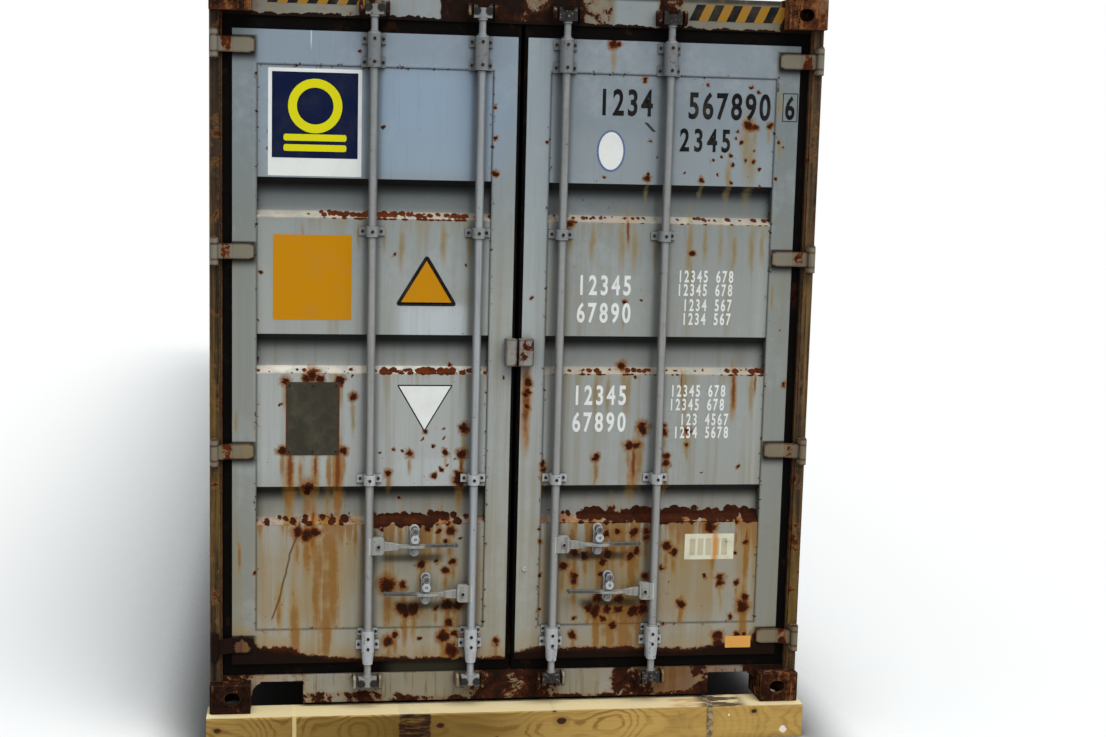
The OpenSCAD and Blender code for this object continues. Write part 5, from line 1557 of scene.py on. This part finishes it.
class CONTAINER_OT_fastenings(bpy.types.Operator):
    """Adds bolts on the bearings, set screws on their fronts, screws in the hubs, rivets and a plug"""
    bl_idname = "container.fastenings"
    bl_label = "Fastenings"

    # (height, reach across, depth from the casting face) of each pair of bolts, in millimetres
    bolts = [(262, 37, 60), (316, 33, 60), (2599, 37, 60), (2689, 37, 60), (950, 37, 63), (1943, 37, 63)]
    # (height, depth) of the screws in the fronts of the bearings
    screws = [(300, 1), (258, 1), (2600, 1), (2688, 1), (950, 3), (1943, 3)]
    # (place across from the rod, height) of the screw in each handle's hub
    hubs = {"left_outer": (38, 680), "left_inner": (-38, 480),
            "right_inner": (38, 680), "right_outer": (-38, 480)}
    rivet_inset = 14 * MM

    def execute(self, context):
        steel = dark_steel()
        bolt = self.head("bolt_pattern", 6, sizes().bolt_head, 6 * MM, 0.45)
        screw = self.head("screw_pattern", 20, sizes().screw_head, 3 * MM, 0.5)
        rivet = self.head("rivet_pattern", 16, sizes().rivet_head, 4 * MM, 0.3)
        for door in ("left", "right"):
            rods = [side for side in RODS if side.startswith(door)]
            places = [(bolt, ROD_X[side] + sign * reach * MM, high, deep)
                      for side in rods for high, reach, deep in self.bolts for sign in (-1, 1)]
            places += [(screw, ROD_X[side], high, deep) for side in rods for high, deep in self.screws]
            self.gather(f"door_{door}_fastenings", places, f"door_{door}", steel)
        for side in RODS:
            across, high = self.hubs[side]
            place = (screw, ROD_X[side] + across * MM, high, 3)
            self.gather(f"hub_screw_{side}", [place], f"rod_{side}", steel)
        low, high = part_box("data_plate")
        deep = (low.y - REAR_Y) / MM
        ups = [(z - FOOT_Z) / MM for z in (low.z + self.rivet_inset, high.z - self.rivet_inset)]
        columns = (low.x + self.rivet_inset, (low.x + high.x) / 2, high.x - self.rivet_inset)
        spots = [(rivet, x, up, deep) for x in columns for up in ups]
        self.gather("data_plate_rivets", spots, "door_left", steel)
        plug = self.head("plug_pattern", 24, 24 * MM, 5 * MM, 0.8)
        pale = worn_paint("plug_paint", tone(160, 160, 152), 0.2)
        self.gather("stile_plug", [(plug, 0.054, 568, (LEAF_Y - REAR_Y) / MM)], "door_right", pale)
        for pattern in (bolt, screw, rivet, plug):
            bpy.data.objects.remove(pattern)
        return {"FINISHED"}

    def head(self, name, sides, width, depth, hollow):
        """A head that looks to -Y, its rim bevelled and its middle sunk."""
        Piece.clear_selection()
        bpy.ops.mesh.primitive_cylinder_add(
            vertices=sides, radius=width / 2, depth=depth, rotation=(math.pi / 2, 0, 0))
        piece = bpy.context.object
        piece.name = name
        Piece.settle(piece)
        piece.data.transform(Matrix.Translation((0, -depth * 0.4, 0)))
        for face in piece.data.polygons:
            face.select = face.normal.y < -0.9
        bpy.ops.object.mode_set(mode="EDIT")
        bpy.ops.mesh.select_mode(type="FACE")
        bpy.ops.mesh.inset(thickness=width * 0.5 * hollow)
        bpy.ops.mesh.inset(thickness=width * 0.05, depth=-depth * 0.5)
        bpy.ops.object.mode_set(mode="OBJECT")
        Piece.apply(piece, "BEVEL", width=width * 0.06, segments=2, limit_method="ANGLE")
        return piece

    def gather(self, name, places, body, material):
        """Copies heads to their places, each (head, across in metres, height, depth), and joins them."""
        parts = []
        for number, (pattern, x, high, deep) in enumerate(places):
            matrix = Matrix.Translation((x, REAR_Y + deep * MM, FOOT_Z + high * MM))
            parts.append(Piece.copy(pattern, f"{name}_{number}", matrix))
        Piece.bind(Piece.join(name, parts), body, "galvanised_steel", material)


class CONTAINER_OT_welds(bpy.types.Operator):
    """Adds weld beads at the ends of the rear posts and along the keepers"""
    bl_idname = "container.welds"
    bl_label = "Weld beads"

    keeper_side = 56 * MM
    keeper_tall = 50 * MM
    keeper_inset = 3 * MM
    post_inset = 4 * MM
    post_lift = 2 * MM

    def execute(self, context):
        metal = NODES["corner_castings"].data.materials[0]
        beads = []
        for side in ("left", "right"):
            low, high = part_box(f"rear_post_{side}")
            for z in (low.z + self.post_lift, high.z - self.post_lift):
                start = (low.x + self.post_inset, low.y, z)
                beads.append(self.bead(start, "X", high.x - low.x - 2 * self.post_inset))
        low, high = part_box("cam_keepers")
        foot = low.z + self.keeper_inset
        head = high.z - self.keeper_tall - self.keeper_inset
        for rod in ROD_X.values():
            for x in (rod - self.keeper_side, rod + self.keeper_side):
                beads.append(self.bead((x, SILL_Y, foot), "Z", self.keeper_tall))
                beads.append(self.bead((x, HEADER_Y, head), "Z", self.keeper_tall))
        Piece.bind(Piece.join("weld_beads", beads), "frame", "sill_paint", metal)
        return {"FINISHED"}

    def bead(self, start, axis, length):
        """A row of overlapping drops of weld metal along one axis."""
        Piece.clear_selection()
        bpy.ops.mesh.primitive_uv_sphere_add(segments=8, ring_count=5, radius=sizes().weld / 2)
        piece = bpy.context.object
        piece.scale = (0.75, 0.8, 0.6) if axis == "Z" else (0.6, 0.8, 0.75)
        Piece.settle(piece)
        step = sizes().weld * 0.42
        way = Vector((step, 0, 0)) if axis == "X" else Vector((0, 0, step))
        Piece.apply(piece, "ARRAY", count=max(2, round(length / step)), use_relative_offset=False,
                    use_constant_offset=True, constant_offset_displace=way)
        piece.data.transform(Matrix.Translation(start))
        return piece


CLASSES = [
    ContainerColours, ContainerSizes, CONTAINER_OT_stage, CONTAINER_OT_door_paint, CONTAINER_OT_body_paint,
    CONTAINER_OT_end_frame, CONTAINER_OT_locking_gear, CONTAINER_OT_seals_and_floor, CONTAINER_OT_patches,
    CONTAINER_OT_digits, CONTAINER_OT_stripes, CONTAINER_OT_fastenings, CONTAINER_OT_welds,
]
STEPS = [cls.bl_idname for cls in CLASSES if issubclass(cls, bpy.types.Operator)]


class CONTAINER_PT_panel(bpy.types.Panel):
    """Lists the container's settings and steps in the sidebar"""
    bl_idname = "CONTAINER_PT_panel"
    bl_label = "Container"
    bl_space_type = "VIEW_3D"
    bl_region_type = "UI"
    bl_category = "Container"

    def draw(self, context):
        for settings in (context.scene.container_sizes, context.scene.container_colours):
            for name in settings.__annotations__:
                self.layout.prop(settings, name)
        for step in STEPS:
            self.layout.operator(step)


def register():
    """Registers the settings, the operators and the panel."""
    for cls in (*CLASSES, CONTAINER_PT_panel):
        bpy.utils.register_class(cls)
    bpy.types.Scene.container_colours = PointerProperty(type=ContainerColours)
    bpy.types.Scene.container_sizes = PointerProperty(type=ContainerSizes)


def unregister():
    """Takes away what register added."""
    del bpy.types.Scene.container_sizes
    del bpy.types.Scene.container_colours
    for cls in reversed((*CLASSES, CONTAINER_PT_panel)):
        bpy.utils.unregister_class(cls)


def main():
    """Runs every step in order."""
    register()
    for step in STEPS:
        group, name = step.split(".")
        getattr(getattr(bpy.ops, group), name)()


if __name__ == "__main__":
    main()
